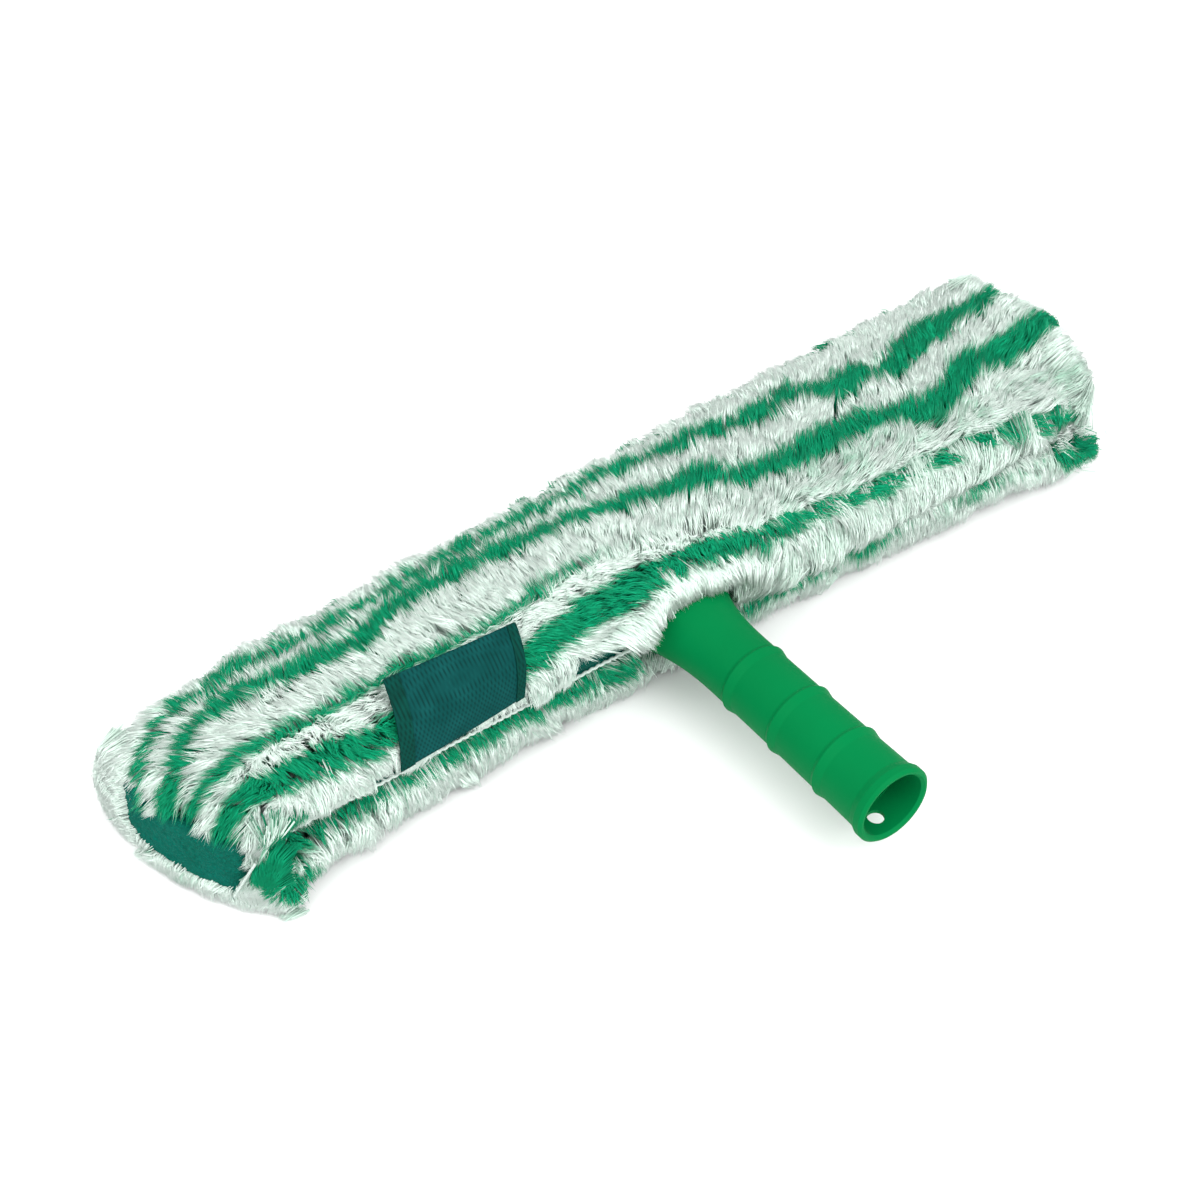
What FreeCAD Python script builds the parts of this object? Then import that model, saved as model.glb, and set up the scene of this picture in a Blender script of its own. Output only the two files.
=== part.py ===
"""Window scrubber: a plush washing sleeve on a plastic T-bar with a hollow pole handle.

+X runs along the crossbar, -Y is the way the handle points, +Z is up.
The origin is on the surface the scrubber lies on, below the middle of its bounding box.
Section points are written from the bar line, where the handle axis meets the crossbar axis.
"""
import math
import os

import FreeCAD
import Part

V = FreeCAD.Vector

# Driving dimensions, in millimetres and degrees

# Sleeve
SLEEVE_REACH = 185.5        # from the middle to either tip of the sleeve
SLEEVE_BACK = 42.0          # bar line to the back of the pile, on the right
BACK_FULL_X = 90.0          # left of here the back of the pile draws in
BACK_SLOPE = 0.03           # by this much for each millimetre
SLEEVE_TOP = 24.0           # bar line to the top of the pile
LOWER_FRONT = 33.0          # bar line to the front of the lower lobe, at mid length
LOWER_FLARE = 14.0          # how much further forward the lower lobe stands at its ends
UPPER_FRONT = 35.0          # bar line to the front of the upper lobe
SHOULDER_Y = 22.0           # half width of the upper lobe's crown
SHOULDER_Z = 21.0           # bar line up to either edge of the crown
GROOVE_DEPTH_Y = 28.0       # bar line to the bottom of the front groove
BAR_HEIGHT = 24.0           # bar line above the floor
FLAT_CUT = 0.5              # how far the underside is pressed flat by the floor
LEFT_END_RADIUS = 92.0      # plan radius of the bulged left end
RIGHT_END_RADIUS = 140.0
RIGHT_END_ROUND = 45.0      # side radius of the right end
LEFT_CROWN_Y = 20.0         # where the left end bulges most, behind the bar line
RIGHT_CROWN_Y = 0.0
DOME_START = -120.0         # left of here the upper lobe rounds down to its end
DOME_LENGTH = 63.0
DOME_TURNS = (0, 15, 30, 45, 60, 72, 82)

# Handle
MOUTH_REACH = 131.0         # bar line to the mouth of the handle
ROOT_RADIUS = 12.05
MOUTH_RADIUS = 13.0
RIM_RADIUS = 13.9
RIM_WIDTH = 3.2
RIM_LEAD = 2.6
RING_REACHES = (64.0, 86.0, 108.0)
RING_HEIGHT = 0.8
RING_LEAD = 1.5             # steep side of a ring, towards the root
RING_TAIL = 3.2             # gentle side of a ring, towards the mouth
FLARE_START = 54.0
BORE_RADIUS = 10.9
BORE_REACH = 82.0           # mouth to the bottom of the pole socket
MOUTH_BORE_RADIUS = 11.4
MOUTH_BORE_DEPTH = 12.0
MOUTH_CHAMFER = 0.9
LOCK_HOLE_RADIUS = 2.75
LOCK_HOLE_INSET = 7.5       # mouth to the axis of the lock hole

# Crossbar
BAR_HALF_LENGTH = 160.0
BAR_HALF_WIDTH = 14.0
BAR_HALF_HEIGHT = 8.0
BAR_CORNER = 5.0
BAR_WALL = 2.0
HUB_HALF_LENGTH = 26.0
CHAMBERS_PER_SIDE = 5
RIB_THICKNESS = 1.6
WINDOW_LENGTH = 18.0
WINDOW_WIDTH = 11.0
CAP_PLATE = 2.0
CAP_PLUG = 8.0
CAP_PLUG_GAP = 0.1

# Saddle at the root of the handle, and its two screws
SADDLE_HALF_LENGTH = 25.0
SADDLE_FRONT = 19.0
SADDLE_LAP = 6.0            # bar line to where the saddle's lips end
SADDLE_LIP = 3.0
SCREW_X = 15.0
SCREW_RADIUS = 2.0
SCREW_TIP = 30.0
SCREW_HEAD_RADIUS = 3.8
SCREW_HEAD_HEIGHT = 2.4
SCREW_SLOT = 0.9

# Closure flap and its press studs
FLAP_HALF_LENGTH = 60.0
FLAP_PLANE = 18.0           # bar line to the flap's inner face
KNUCKLE_RADIUS = 3.0
KNUCKLE_DROP = 3.0          # pile surface to the fold axis
CREASE_WIDTH = 4.6
FLAP_GAP = 0.4
FLAP_SEAT = 1.7             # underside of the flap above the bar line
FACING_THICKNESS = 1.0
FACING_TOP = 14.2
BINDING_GAP = 0.8
BINDING_THICKNESS = 1.4
HEM_THICKNESS = 1.2
HEM_FRONT = 30.0
HEM_BACK = 15.2
HEM_HALF_LENGTH = 154.0
TONGUE_THICKNESS = 2.0
TONGUE_TOP = 12.8
TONGUE_INNER = 31.0
TONGUE_OUTER = 58.0
STUD_X = 45.0
STUD_Z = 7.6
STUD_BASE_RADIUS = 4.4
STUD_BASE = 0.8
STUD_RADIUS = 2.5
STUD_LENGTH = 2.2
SOCKET_RADIUS = 4.8
SOCKET_BORE = 3.0
SOCKET_DEPTH = 2.4
SOCKET_SET = 0.9            # flap's inner face to the socket's mouth
SNAP_CAP_RADIUS = 5.2
SNAP_CAP_HEIGHT = 1.2
SNAP_POST_RADIUS = 4.4
SNAP_POST_HEIGHT = 0.7
SNAP_SHANK = 1.4

# Ends of the sleeve
PAD_SET = 3.0               # sleeve tip to the face of the pad
PAD_THICKNESS = 6.0
PANEL_THICKNESS = 1.5
PAD_SPAN_Y = (-28.0, 18.0)
PAD_SPAN_Z = (-21.5, 2.0)
PAD_CORNER = 4.0
RIGHT_SPAN_Y = (-26.0, 26.0)
RIGHT_SPAN_Z = (-18.0, 18.0)
RIGHT_SET = 0.0
RIGHT_PANEL_THICKNESS = 10.0

# Sewn label
LABEL_WIDTH = 46.0
LABEL_HEIGHT = 27.0
LABEL_THICKNESS = 1.0
LABEL_FOOT = (-87.0, -33.0, 5.5)
LABEL_LEAN = 27.0
LABEL_ROOM = 30.0

# Crease across the front of the right half
CREASE_START = (62.0, -28.0, 21.5)
CREASE_END = (192.0, -42.3, 7.8)
CREASE_RADIUS = 5.0

CLEAR = 0.35                # room round the T-bar inside the sleeve
FAR = 400.0                 # longer than anything it has to cut

# The bar line sits behind the middle of the bounding box
BAR_Y = (MOUTH_REACH - SLEEVE_BACK) / 2
BAR_Z = BAR_HEIGHT


def at(x, y, z):
    """A point given from the bar line."""
    return V(x, BAR_Y + y, BAR_Z + z)


def arc(p, q, r):
    return Part.Arc(p, q, r).toShape()


def line(p, q):
    return Part.LineSegment(p, q).toShape()


def face(edges):
    return Part.Face(Part.Wire(edges))


def box(x, y, z):
    """A block between pairs of limits given from the bar line."""
    return Part.makeBox(x[1] - x[0], y[1] - y[0], z[1] - z[0], at(x[0], y[0], z[0]))


def rod_y(radius, x, z, y_front, y_back):
    """A round bar along Y."""
    return Part.makeCylinder(radius, y_back - y_front, at(x, y_front, z), V(0, 1, 0))


def both_sides(make, offset):
    return [make(-offset), make(offset)]


def rounded_section(x, half_y, half_z, corner):
    """A rounded rectangle square to the crossbar."""
    blank = Part.makeBox(1.0, 2 * half_y, 2 * half_z, at(x, -half_y, -half_z))
    along = [e for e in blank.Edges if abs(e.tangentAt(e.FirstParameter).x) > 0.5]
    rounded = blank.makeFillet(corner, along)
    return min(rounded.Faces, key=lambda f: f.CenterOfMass.x)


def rounded_bar(half_y, half_z, corner, x_from, x_to):
    return rounded_section(x_from, half_y, half_z, corner).extrude(V(x_to - x_from, 0, 0))


# Outlines of the sleeve

def upper_section(x, rise=1.0):
    """Pile of the upper lobe: drawn in at the front groove, crowned on top; rise scales its height."""
    groove = at(x, -GROOVE_DEPTH_Y, 0)
    nose = at(x, -UPPER_FRONT, 9 * rise)
    shoulder = at(x, -SHOULDER_Y, SHOULDER_Z * rise)
    rear = at(x, SHOULDER_Y, SHOULDER_Z * rise)
    heel = at(x, SLEEVE_BACK, 6 * rise)
    foot = at(x, SLEEVE_BACK, 0)
    return Part.Wire([
        arc(groove, at(x, -33.4, 2.9 * rise), nose),
        arc(nose, at(x, -30.4, 16.5 * rise), shoulder),
        arc(shoulder, at(x, 0, SLEEVE_TOP * rise), rear),
        arc(rear, at(x, 36, 16.2 * rise), heel),
        line(heel, foot),
        line(foot, groove),
    ])


def lower_section(x):
    """Pile of the lower lobe: drawn in at mid length, crowned underneath."""
    front = LOWER_FRONT + LOWER_FLARE * (x / SLEEVE_REACH) ** 4
    groove = at(x, -GROOVE_DEPTH_Y, 0)
    nose = at(x, -front, -11)
    toe = at(x, 7.5 - front, -22.8)
    heel = at(x, 33, -22.6)
    rear = at(x, SLEEVE_BACK, -9)
    top = at(x, SLEEVE_BACK, 0)
    return Part.Wire([
        arc(groove, at(x, -0.66 * front - 0.34 * GROOVE_DEPTH_Y, -3.8), nose),
        arc(nose, at(x, 3.0 - front, -18.2), toe),
        arc(toe, at(x, 0, -BAR_HEIGHT - FLAT_CUT), heel),
        arc(heel, at(x, 39.8, -17), rear),
        line(rear, top),
        line(top, groove),
    ])


def lower_rear_section(x):
    """Everything in front of the lower lobe's back."""
    corners = [at(x, *p) for p in ((SLEEVE_BACK, 0), (-100, 0), (-100, -60), (33, -60), (33, -22.6))]
    edges = [line(p, q) for p, q in zip(corners, corners[1:])]
    rear = at(x, SLEEVE_BACK, -9)
    return Part.Wire(edges + [arc(corners[-1], at(x, 39.8, -17), rear), line(rear, corners[0])])


def smooth_loft(sections):
    """A solid through sections, in cubic curves so that it doesn't wave between them."""
    return Part.makeLoft(sections, True, False, False, 3)


def drawn_in(section):
    """A section run along the sleeve, with its back drawn in towards the left end."""
    straight = Part.Face(section).extrude(V(FAR, 0, 0))
    slanted = Part.Face(section).extrude(V(-FAR, -BACK_SLOPE * FAR, 0))
    return straight.fuse(slanted)


def end_x(side, y, inset):
    """How far the bulged end reaches at y; side is -1 on the left and 1 on the right."""
    crown = LEFT_CROWN_Y if side < 0 else RIGHT_CROWN_Y
    radius = (LEFT_END_RADIUS if side < 0 else RIGHT_END_RADIUS) - inset
    drop = radius - math.sqrt(radius ** 2 - (y - crown) ** 2)
    return side * (SLEEVE_REACH - inset - drop)


def plan_block(inset):
    """The sleeve's plan, with its bulged ends, as a tall block."""
    front = -60.0
    back = 60.0
    low = -60.0
    left = [at(end_x(-1, y, inset), y, low) for y in (back, 0.0, front)]
    right = [at(end_x(1, y, inset), y, low) for y in (front, 0.0, back)]
    outline = face([
        arc(*left),
        line(left[2], right[0]),
        arc(*right),
        line(right[2], left[0]),
    ])
    return outline.extrude(V(0, 0, 120))


def side_block():
    """The sleeve's side outline: right end rounded from floor to crown, underside pressed flat."""
    half = BAR_HEIGHT + 6.0
    drop = RIGHT_END_ROUND - math.sqrt(RIGHT_END_ROUND ** 2 - half ** 2)
    front = -60.0
    low_left = at(-SLEEVE_REACH, front, -half)
    high_left = at(-SLEEVE_REACH, front, half)
    low_right = at(SLEEVE_REACH - drop, front, -half)
    high_right = at(SLEEVE_REACH - drop, front, half)
    outline = face([
        line(low_left, low_right),
        arc(low_right, at(SLEEVE_REACH, front, 0), high_right),
        line(high_right, high_left),
        line(high_left, low_left),
    ])
    above_floor = box((-FAR, FAR), (-FAR, FAR), (-BAR_HEIGHT, FAR))
    return outline.extrude(V(0, 120, 0)).common(above_floor)


# T-bar

def root_flare(extra):
    """The handle's trumpet root, from a round neck to a wide foot on the crossbar."""
    stations = (
        (FLARE_START + 12.0, ROOT_RADIUS, ROOT_RADIUS),
        (FLARE_START, ROOT_RADIUS, ROOT_RADIUS),
        (42.0, 13.2, ROOT_RADIUS - 0.1),
        (30.0, 17.0, ROOT_RADIUS - 0.4),
        (SADDLE_FRONT, 23.0, BAR_HALF_HEIGHT + SADDLE_LIP),
    )
    rings = []
    for reach, half_x, half_z in stations:
        centre = at(0, -reach, 0)
        wide = max(half_x, half_z + 0.01) + extra
        ring = Part.Ellipse(centre + V(wide, 0, 0), centre + V(0, 0, half_z + extra), centre)
        rings.append(Part.Wire([ring.toShape()]))
    return Part.makeLoft(rings, True, False)


def saddle(extra):
    """Block at the handle's root that laps the front of the crossbar."""
    half_z = BAR_HALF_HEIGHT + SADDLE_LIP + extra
    block = Part.makeBox(
        2 * (SADDLE_HALF_LENGTH + extra), SADDLE_FRONT - SADDLE_LAP + 2 * extra, 2 * half_z,
        at(-SADDLE_HALF_LENGTH - extra, -SADDLE_FRONT - extra, -half_z))
    along = [e for e in block.Edges if abs(e.tangentAt(e.FirstParameter).y) > 0.5]
    return block.makeFillet(BAR_CORNER, along)


def crossbar_envelope(extra):
    return rounded_bar(BAR_HALF_WIDTH + extra, BAR_HALF_HEIGHT + extra, BAR_CORNER,
                       -BAR_HALF_LENGTH - CAP_PLATE - extra, BAR_HALF_LENGTH + CAP_PLATE + extra)


def sleeve_radius(reach):
    """Plain radius of the handle between its rings, growing towards the mouth."""
    along = max(0.0, (reach - FLARE_START) / (MOUTH_REACH - FLARE_START))
    return ROOT_RADIUS + (MOUTH_RADIUS - ROOT_RADIUS) * along ** 2


def handle_tube():
    """Ringed grip, revolved from a half outline about the handle axis."""
    points = [(FLARE_START, 0.0), (FLARE_START, sleeve_radius(FLARE_START))]
    for reach in RING_REACHES:
        points.append((reach - RING_LEAD, sleeve_radius(reach - RING_LEAD)))
        points.append((reach, sleeve_radius(reach) + RING_HEIGHT))
        points.append((reach + RING_TAIL, sleeve_radius(reach + RING_TAIL)))
    rim = MOUTH_REACH - RIM_WIDTH
    points.append((rim - RIM_LEAD, sleeve_radius(rim - RIM_LEAD)))
    points.append((rim, RIM_RADIUS))
    points.append((MOUTH_REACH - MOUTH_CHAMFER, RIM_RADIUS))
    points.append((MOUTH_REACH, RIM_RADIUS - MOUTH_CHAMFER))
    points.append((MOUTH_REACH, 0.0))
    corners = [at(radius, -reach, 0) for reach, radius in points]
    outline = face([line(p, q) for p, q in zip(corners, corners[1:] + corners[:1])])
    return outline.revolve(at(0, 0, 0), V(0, 1, 0), 360)


def handle_bore():
    """Blind pole socket, a little wider at the mouth, with a chamfered lead-in."""
    bore = rod_y(BORE_RADIUS, 0, 0, -MOUTH_REACH, BORE_REACH - MOUTH_REACH)
    mouth = rod_y(MOUTH_BORE_RADIUS, 0, 0, -MOUTH_REACH, MOUTH_BORE_DEPTH - MOUTH_REACH)
    lead = Part.makeCone(MOUTH_BORE_RADIUS + MOUTH_CHAMFER, MOUTH_BORE_RADIUS, MOUTH_CHAMFER,
                         at(0, -MOUTH_REACH, 0), V(0, 1, 0))
    return bore.fuse(mouth).fuse(lead)


def lock_hole():
    reach = MOUTH_REACH - LOCK_HOLE_INSET
    return Part.makeCylinder(LOCK_HOLE_RADIUS, RIM_RADIUS + 2.0, at(0, -reach, 0), V(0, 0, -1))


def screw_pilots():
    return both_sides(lambda x: rod_y(SCREW_RADIUS, x, 0, -SCREW_TIP, BAR_HALF_WIDTH), SCREW_X)


def handle_socket():
    solid = handle_tube().fuse(root_flare(0.0)).fuse(saddle(0.0))
    solid = solid.cut(crossbar_envelope(0.0)).cut(handle_bore()).cut(lock_hole())
    solid = solid.cut(Part.makeCompound(screw_pilots()))
    return solid.removeSplitter()


def chamber_limits():
    """Limits along X of each water chamber on the right half."""
    first = HUB_HALF_LENGTH
    last = BAR_HALF_LENGTH - CAP_PLUG
    pitch = (last - first + RIB_THICKNESS) / CHAMBERS_PER_SIDE
    starts = [first + i * pitch for i in range(CHAMBERS_PER_SIDE)]
    return [(start, start + pitch - RIB_THICKNESS) for start in starts]


def window(x):
    """A long hole through the top and bottom walls of a chamber."""
    half = (WINDOW_LENGTH - WINDOW_WIDTH) / 2
    radius = WINDOW_WIDTH / 2
    low = -2 * BAR_HALF_HEIGHT
    a = at(x - half, -radius, low)
    b = at(x + half, -radius, low)
    c = at(x + half, radius, low)
    d = at(x - half, radius, low)
    outline = face([
        line(a, b),
        arc(b, at(x + half + radius, 0, low), c),
        line(c, d),
        arc(d, at(x - half - radius, 0, low), a),
    ])
    return outline.extrude(V(0, 0, 4 * BAR_HALF_HEIGHT))


def crossbar():
    """Hollow beam: a solid hub, then ribbed water chambers with windows."""
    beam = rounded_bar(BAR_HALF_WIDTH, BAR_HALF_HEIGHT, BAR_CORNER, -BAR_HALF_LENGTH, BAR_HALF_LENGTH)
    hollow_y = BAR_HALF_WIDTH - BAR_WALL
    hollow_z = BAR_HALF_HEIGHT - BAR_WALL
    hollow_corner = BAR_CORNER - BAR_WALL
    cuts = []
    for x_from, x_to in chamber_limits():
        middle = (x_from + x_to) / 2
        for side in (-1, 1):
            ends = sorted((side * x_from, side * x_to))
            cuts.append(rounded_bar(hollow_y, hollow_z, hollow_corner, *ends))
            cuts.append(window(side * middle))
    plug_room = BAR_HALF_LENGTH - CAP_PLUG
    cuts.append(rounded_bar(hollow_y, hollow_z, hollow_corner, plug_room, BAR_HALF_LENGTH))
    cuts.append(rounded_bar(hollow_y, hollow_z, hollow_corner, -BAR_HALF_LENGTH, -plug_room))
    cuts += screw_pilots()
    cuts += both_sides(screw_head, SCREW_X)
    for tool in cuts:
        beam = beam.cut(tool)
    return beam


def end_cap(side):
    """Push-in plug with a plate that closes the crossbar's end."""
    plug_y = BAR_HALF_WIDTH - BAR_WALL - CAP_PLUG_GAP
    plug_z = BAR_HALF_HEIGHT - BAR_WALL - CAP_PLUG_GAP
    plug_corner = BAR_CORNER - BAR_WALL - CAP_PLUG_GAP
    plate_x = sorted((side * BAR_HALF_LENGTH, side * (BAR_HALF_LENGTH + CAP_PLATE)))
    plug_x = sorted((side * BAR_HALF_LENGTH, side * (BAR_HALF_LENGTH - CAP_PLUG + 1.0)))
    hollow_x = sorted((side * (BAR_HALF_LENGTH - CAP_PLUG), side * BAR_HALF_LENGTH))
    plate = rounded_bar(BAR_HALF_WIDTH, BAR_HALF_HEIGHT, BAR_CORNER, *plate_x)
    plug = rounded_bar(plug_y, plug_z, plug_corner, *plug_x)
    core = rounded_bar(plug_y - BAR_WALL, plug_z - BAR_WALL, 0.5, *hollow_x)
    return plate.fuse(plug.cut(core)).removeSplitter()


def screw_head(x):
    return rod_y(SCREW_HEAD_RADIUS, x, 0, BAR_HALF_WIDTH - SCREW_HEAD_HEIGHT, BAR_HALF_WIDTH)


def handle_screws():
    screws = []
    for x in (-SCREW_X, SCREW_X):
        shank = rod_y(SCREW_RADIUS, x, 0, -SCREW_TIP, BAR_HALF_WIDTH - SCREW_HEAD_HEIGHT)
        slot = box((x - SCREW_HEAD_RADIUS, x + SCREW_HEAD_RADIUS),
                   (BAR_HALF_WIDTH - SCREW_SLOT, BAR_HALF_WIDTH),
                   (-SCREW_SLOT / 2, SCREW_SLOT / 2))
        screws.append(shank.fuse(screw_head(x)).cut(slot).removeSplitter())
    return Part.makeCompound(screws)


# Closure

def pile_top(y):
    """Height of the upper lobe's crown arc at y."""
    rise = SLEEVE_TOP - SHOULDER_Z
    radius = (SHOULDER_Y ** 2 + rise ** 2) / (2 * rise)
    return SLEEVE_TOP - radius + math.sqrt(radius ** 2 - y ** 2)


FOLD_Z = pile_top(FLAP_PLANE) - KNUCKLE_DROP


def fold_rod(radius, half_length):
    start = at(-half_length, -FLAP_PLANE, FOLD_Z)
    return Part.makeCylinder(radius, 2 * half_length, start, V(1, 0, 0))


def hem_tape(side):
    """Binding of the lower lip: a flat strip in the groove, with an upright tongue at the opening."""
    strip_x = sorted((side * TONGUE_INNER, side * HEM_HALF_LENGTH))
    tongue_x = sorted((side * TONGUE_INNER, side * TONGUE_OUTER))
    strip = box(strip_x, (-HEM_FRONT, -HEM_BACK), (0, HEM_THICKNESS))
    tongue = box(tongue_x, (-HEM_BACK - TONGUE_THICKNESS, -HEM_BACK), (0, TONGUE_TOP))
    shank = rod_y(SNAP_SHANK, side * STUD_X, STUD_Z, -FAR, FAR)
    return strip.fuse(tongue).cut(shank).removeSplitter()


def snap_stud(x):
    face_y = -HEM_BACK - TONGUE_THICKNESS
    base = rod_y(STUD_BASE_RADIUS, x, STUD_Z, face_y - STUD_BASE, face_y)
    straight = rod_y(STUD_RADIUS, x, STUD_Z, face_y - STUD_BASE - STUD_LENGTH + 1.0, face_y - STUD_BASE)
    dome = Part.makeCone(STUD_RADIUS - 0.8, STUD_RADIUS, 1.0,
                         at(x, face_y - STUD_BASE - STUD_LENGTH, STUD_Z), V(0, 1, 0))
    return base.fuse(straight).fuse(dome).removeSplitter()


def snap_post(x):
    disc = rod_y(SNAP_POST_RADIUS, x, STUD_Z, -HEM_BACK, -HEM_BACK + SNAP_POST_HEIGHT)
    shank = rod_y(SNAP_SHANK, x, STUD_Z, -HEM_BACK - TONGUE_THICKNESS, -HEM_BACK)
    return disc.fuse(shank).removeSplitter()


def snap_socket(x):
    mouth = -FLAP_PLANE - SOCKET_SET
    ring = rod_y(SOCKET_RADIUS, x, STUD_Z, mouth - SOCKET_DEPTH, mouth)
    return ring.cut(rod_y(SOCKET_BORE, x, STUD_Z, -FAR, FAR))


def snap_cap(x):
    back = -FLAP_PLANE - SOCKET_SET - SOCKET_DEPTH
    rim = rod_y(SNAP_CAP_RADIUS, x, STUD_Z, back - SNAP_CAP_HEIGHT / 2, back)
    crown = Part.makeCone(SNAP_CAP_RADIUS - 1.5, SNAP_CAP_RADIUS, SNAP_CAP_HEIGHT / 2,
                          at(x, back - SNAP_CAP_HEIGHT, STUD_Z), V(0, 1, 0))
    return rim.fuse(crown).removeSplitter()


def snap_well(x):
    """Room in the flap for a socket and its cap."""
    back = -FLAP_PLANE - SOCKET_SET - SOCKET_DEPTH - SNAP_CAP_HEIGHT
    return rod_y(SNAP_CAP_RADIUS + 0.2, x, STUD_Z, back - 0.1, -FLAP_PLANE + 1.0)


def facing_strip(side):
    """Woven facing on the flap's inner face, on one side of the handle."""
    span_x = sorted((side * TONGUE_INNER, side * (TONGUE_OUTER + 1.0)))
    return box(span_x, (-FLAP_PLANE - FACING_THICKNESS, -FLAP_PLANE), (FLAP_SEAT, FACING_TOP))


def binding_band():
    """Bound edge of the flap's cut-out over the handle."""
    outer = root_flare(BINDING_GAP + BINDING_THICKNESS)
    inner = root_flare(BINDING_GAP)
    return outer.cut(inner)


def flap_region():
    return box((-FLAP_HALF_LENGTH, FLAP_HALF_LENGTH), (-FAR, -FLAP_PLANE), (FLAP_SEAT, FAR))


def handle_room(extra):
    """Space taken by the T-bar inside the sleeve."""
    return root_flare(extra).fuse(saddle(extra)).fuse(crossbar_envelope(extra))


def closure_flap(blank):
    """Front of the upper lobe between the pockets, folding on its top edge."""
    crease = box((-FAR, FAR), (-FLAP_PLANE - CREASE_WIDTH, FAR), (FOLD_Z + 0.2, FAR))
    flap = blank.common(flap_region()).cut(crease)
    flap = flap.fuse(fold_rod(KNUCKLE_RADIUS, FLAP_HALF_LENGTH))
    flap = flap.cut(root_flare(BINDING_GAP + BINDING_THICKNESS)).cut(saddle(BINDING_GAP))
    for side in (-1, 1):
        flap = flap.cut(facing_strip(side)).cut(snap_well(side * STUD_X))
    return flap.removeSplitter()


def flap_facing(side):
    return facing_strip(side).cut(snap_well(side * STUD_X))


def flap_binding(blank):
    arch = binding_band().common(flap_region()).common(blank)
    return arch.cut(saddle(BINDING_GAP))


# Sleeve

def rounded_window(span_y, span_z, corner, grow):
    """A long rounded-rectangle bar along X that frames an end piece."""
    size_y = span_y[1] - span_y[0] + 2 * grow
    size_z = span_z[1] - span_z[0] + 2 * grow
    bar = Part.makeBox(2 * FAR, size_y, size_z, at(-FAR, span_y[0] - grow, span_z[0] - grow))
    along = [e for e in bar.Edges if abs(e.tangentAt(e.FirstParameter).x) > 0.5]
    return bar.makeFillet(corner + grow, along)


def half_space(side):
    limits = sorted((0.0, side * FAR))
    return box(limits, (-FAR, FAR), (-FAR, FAR))


def end_layer(side, span_y, span_z, inset_from, inset_to):
    """A curved plate that follows the bulged end between two insets."""
    frame = rounded_window(span_y, span_z, PAD_CORNER, 0.0).common(half_space(side))
    return frame.common(plan_block(inset_from)).cut(plan_block(inset_to))


def end_recess(side, span_y, span_z, inset):
    """Room for an end piece, open at the tip."""
    frame = rounded_window(span_y, span_z, PAD_CORNER, 0.05).common(half_space(side))
    return frame.cut(plan_block(inset))


PAD_BACK = PAD_SET + PAD_THICKNESS
PANEL_BACK = PAD_BACK + PANEL_THICKNESS
RIGHT_BACK = RIGHT_SET + RIGHT_PANEL_THICKNESS


def label_plate(room):
    """Sewn label leaning back on the pile; room extends it outwards to press a seat."""
    plate = Part.makeBox(LABEL_WIDTH, LABEL_THICKNESS + room, LABEL_HEIGHT,
                         V(-LABEL_WIDTH / 2, -LABEL_THICKNESS - room, 0))
    plate.rotate(V(0, 0, 0), V(1, 0, 0), -LABEL_LEAN)
    plate.translate(at(*LABEL_FOOT))
    return plate


def crease_rod():
    start = at(*CREASE_START)
    along = at(*CREASE_END) - start
    return Part.makeCylinder(CREASE_RADIUS, along.Length, start, along)


def trim_ends(lobe):
    return lobe.common(plan_block(0.0)).common(side_block())


def upper_blank():
    """Upper lobe before anything is cut from it: straight, then rounding down to its left end."""
    straight = Part.Face(upper_section(DOME_START)).extrude(V(FAR, 0, 0))
    turns = [math.radians(turn) for turn in DOME_TURNS]
    dome = [upper_section(DOME_START - DOME_LENGTH * math.sin(turn), math.cos(turn)) for turn in turns]
    lobe = straight.fuse(smooth_loft(dome))
    return trim_ends(lobe.common(drawn_in(upper_section(BACK_FULL_X))))


def lower_blank():
    """Lower lobe, lofted through sections that flare towards the ends."""
    reach = SLEEVE_REACH + 5.0
    sections = [lower_section(reach * part) for part in (-1.0, -0.8, -0.5, 0.0, 0.5, 0.8, 1.0)]
    return trim_ends(smooth_loft(sections).common(drawn_in(lower_rear_section(BACK_FULL_X))))


def upper_plush(blank):
    gap = FLAP_GAP
    opening = box((-FLAP_HALF_LENGTH - gap, FLAP_HALF_LENGTH + gap), (-FAR, -FLAP_PLANE + gap), (-1, FAR))
    mouth = box((-FLAP_HALF_LENGTH - gap, FLAP_HALF_LENGTH + gap),
                (-FLAP_PLANE, -BAR_HALF_WIDTH), (-1, FACING_TOP + 0.5))
    pile = blank.cut(opening).cut(mouth)
    pile = pile.cut(fold_rod(KNUCKLE_RADIUS + gap, FLAP_HALF_LENGTH + gap))
    pile = pile.cut(handle_room(CLEAR)).cut(hem_tape(-1)).cut(hem_tape(1))
    pile = pile.cut(end_recess(-1, PAD_SPAN_Y, PAD_SPAN_Z, PANEL_BACK))
    pile = pile.cut(end_recess(1, RIGHT_SPAN_Y, RIGHT_SPAN_Z, RIGHT_BACK))
    pile = pile.cut(label_plate(LABEL_ROOM)).cut(crease_rod())
    return pile.removeSplitter()


def lower_plush():
    pile = lower_blank().cut(handle_room(CLEAR))
    pile = pile.cut(end_recess(-1, PAD_SPAN_Y, PAD_SPAN_Z, PANEL_BACK))
    pile = pile.cut(end_recess(1, RIGHT_SPAN_Y, RIGHT_SPAN_Z, RIGHT_BACK))
    return pile.removeSplitter()


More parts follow.
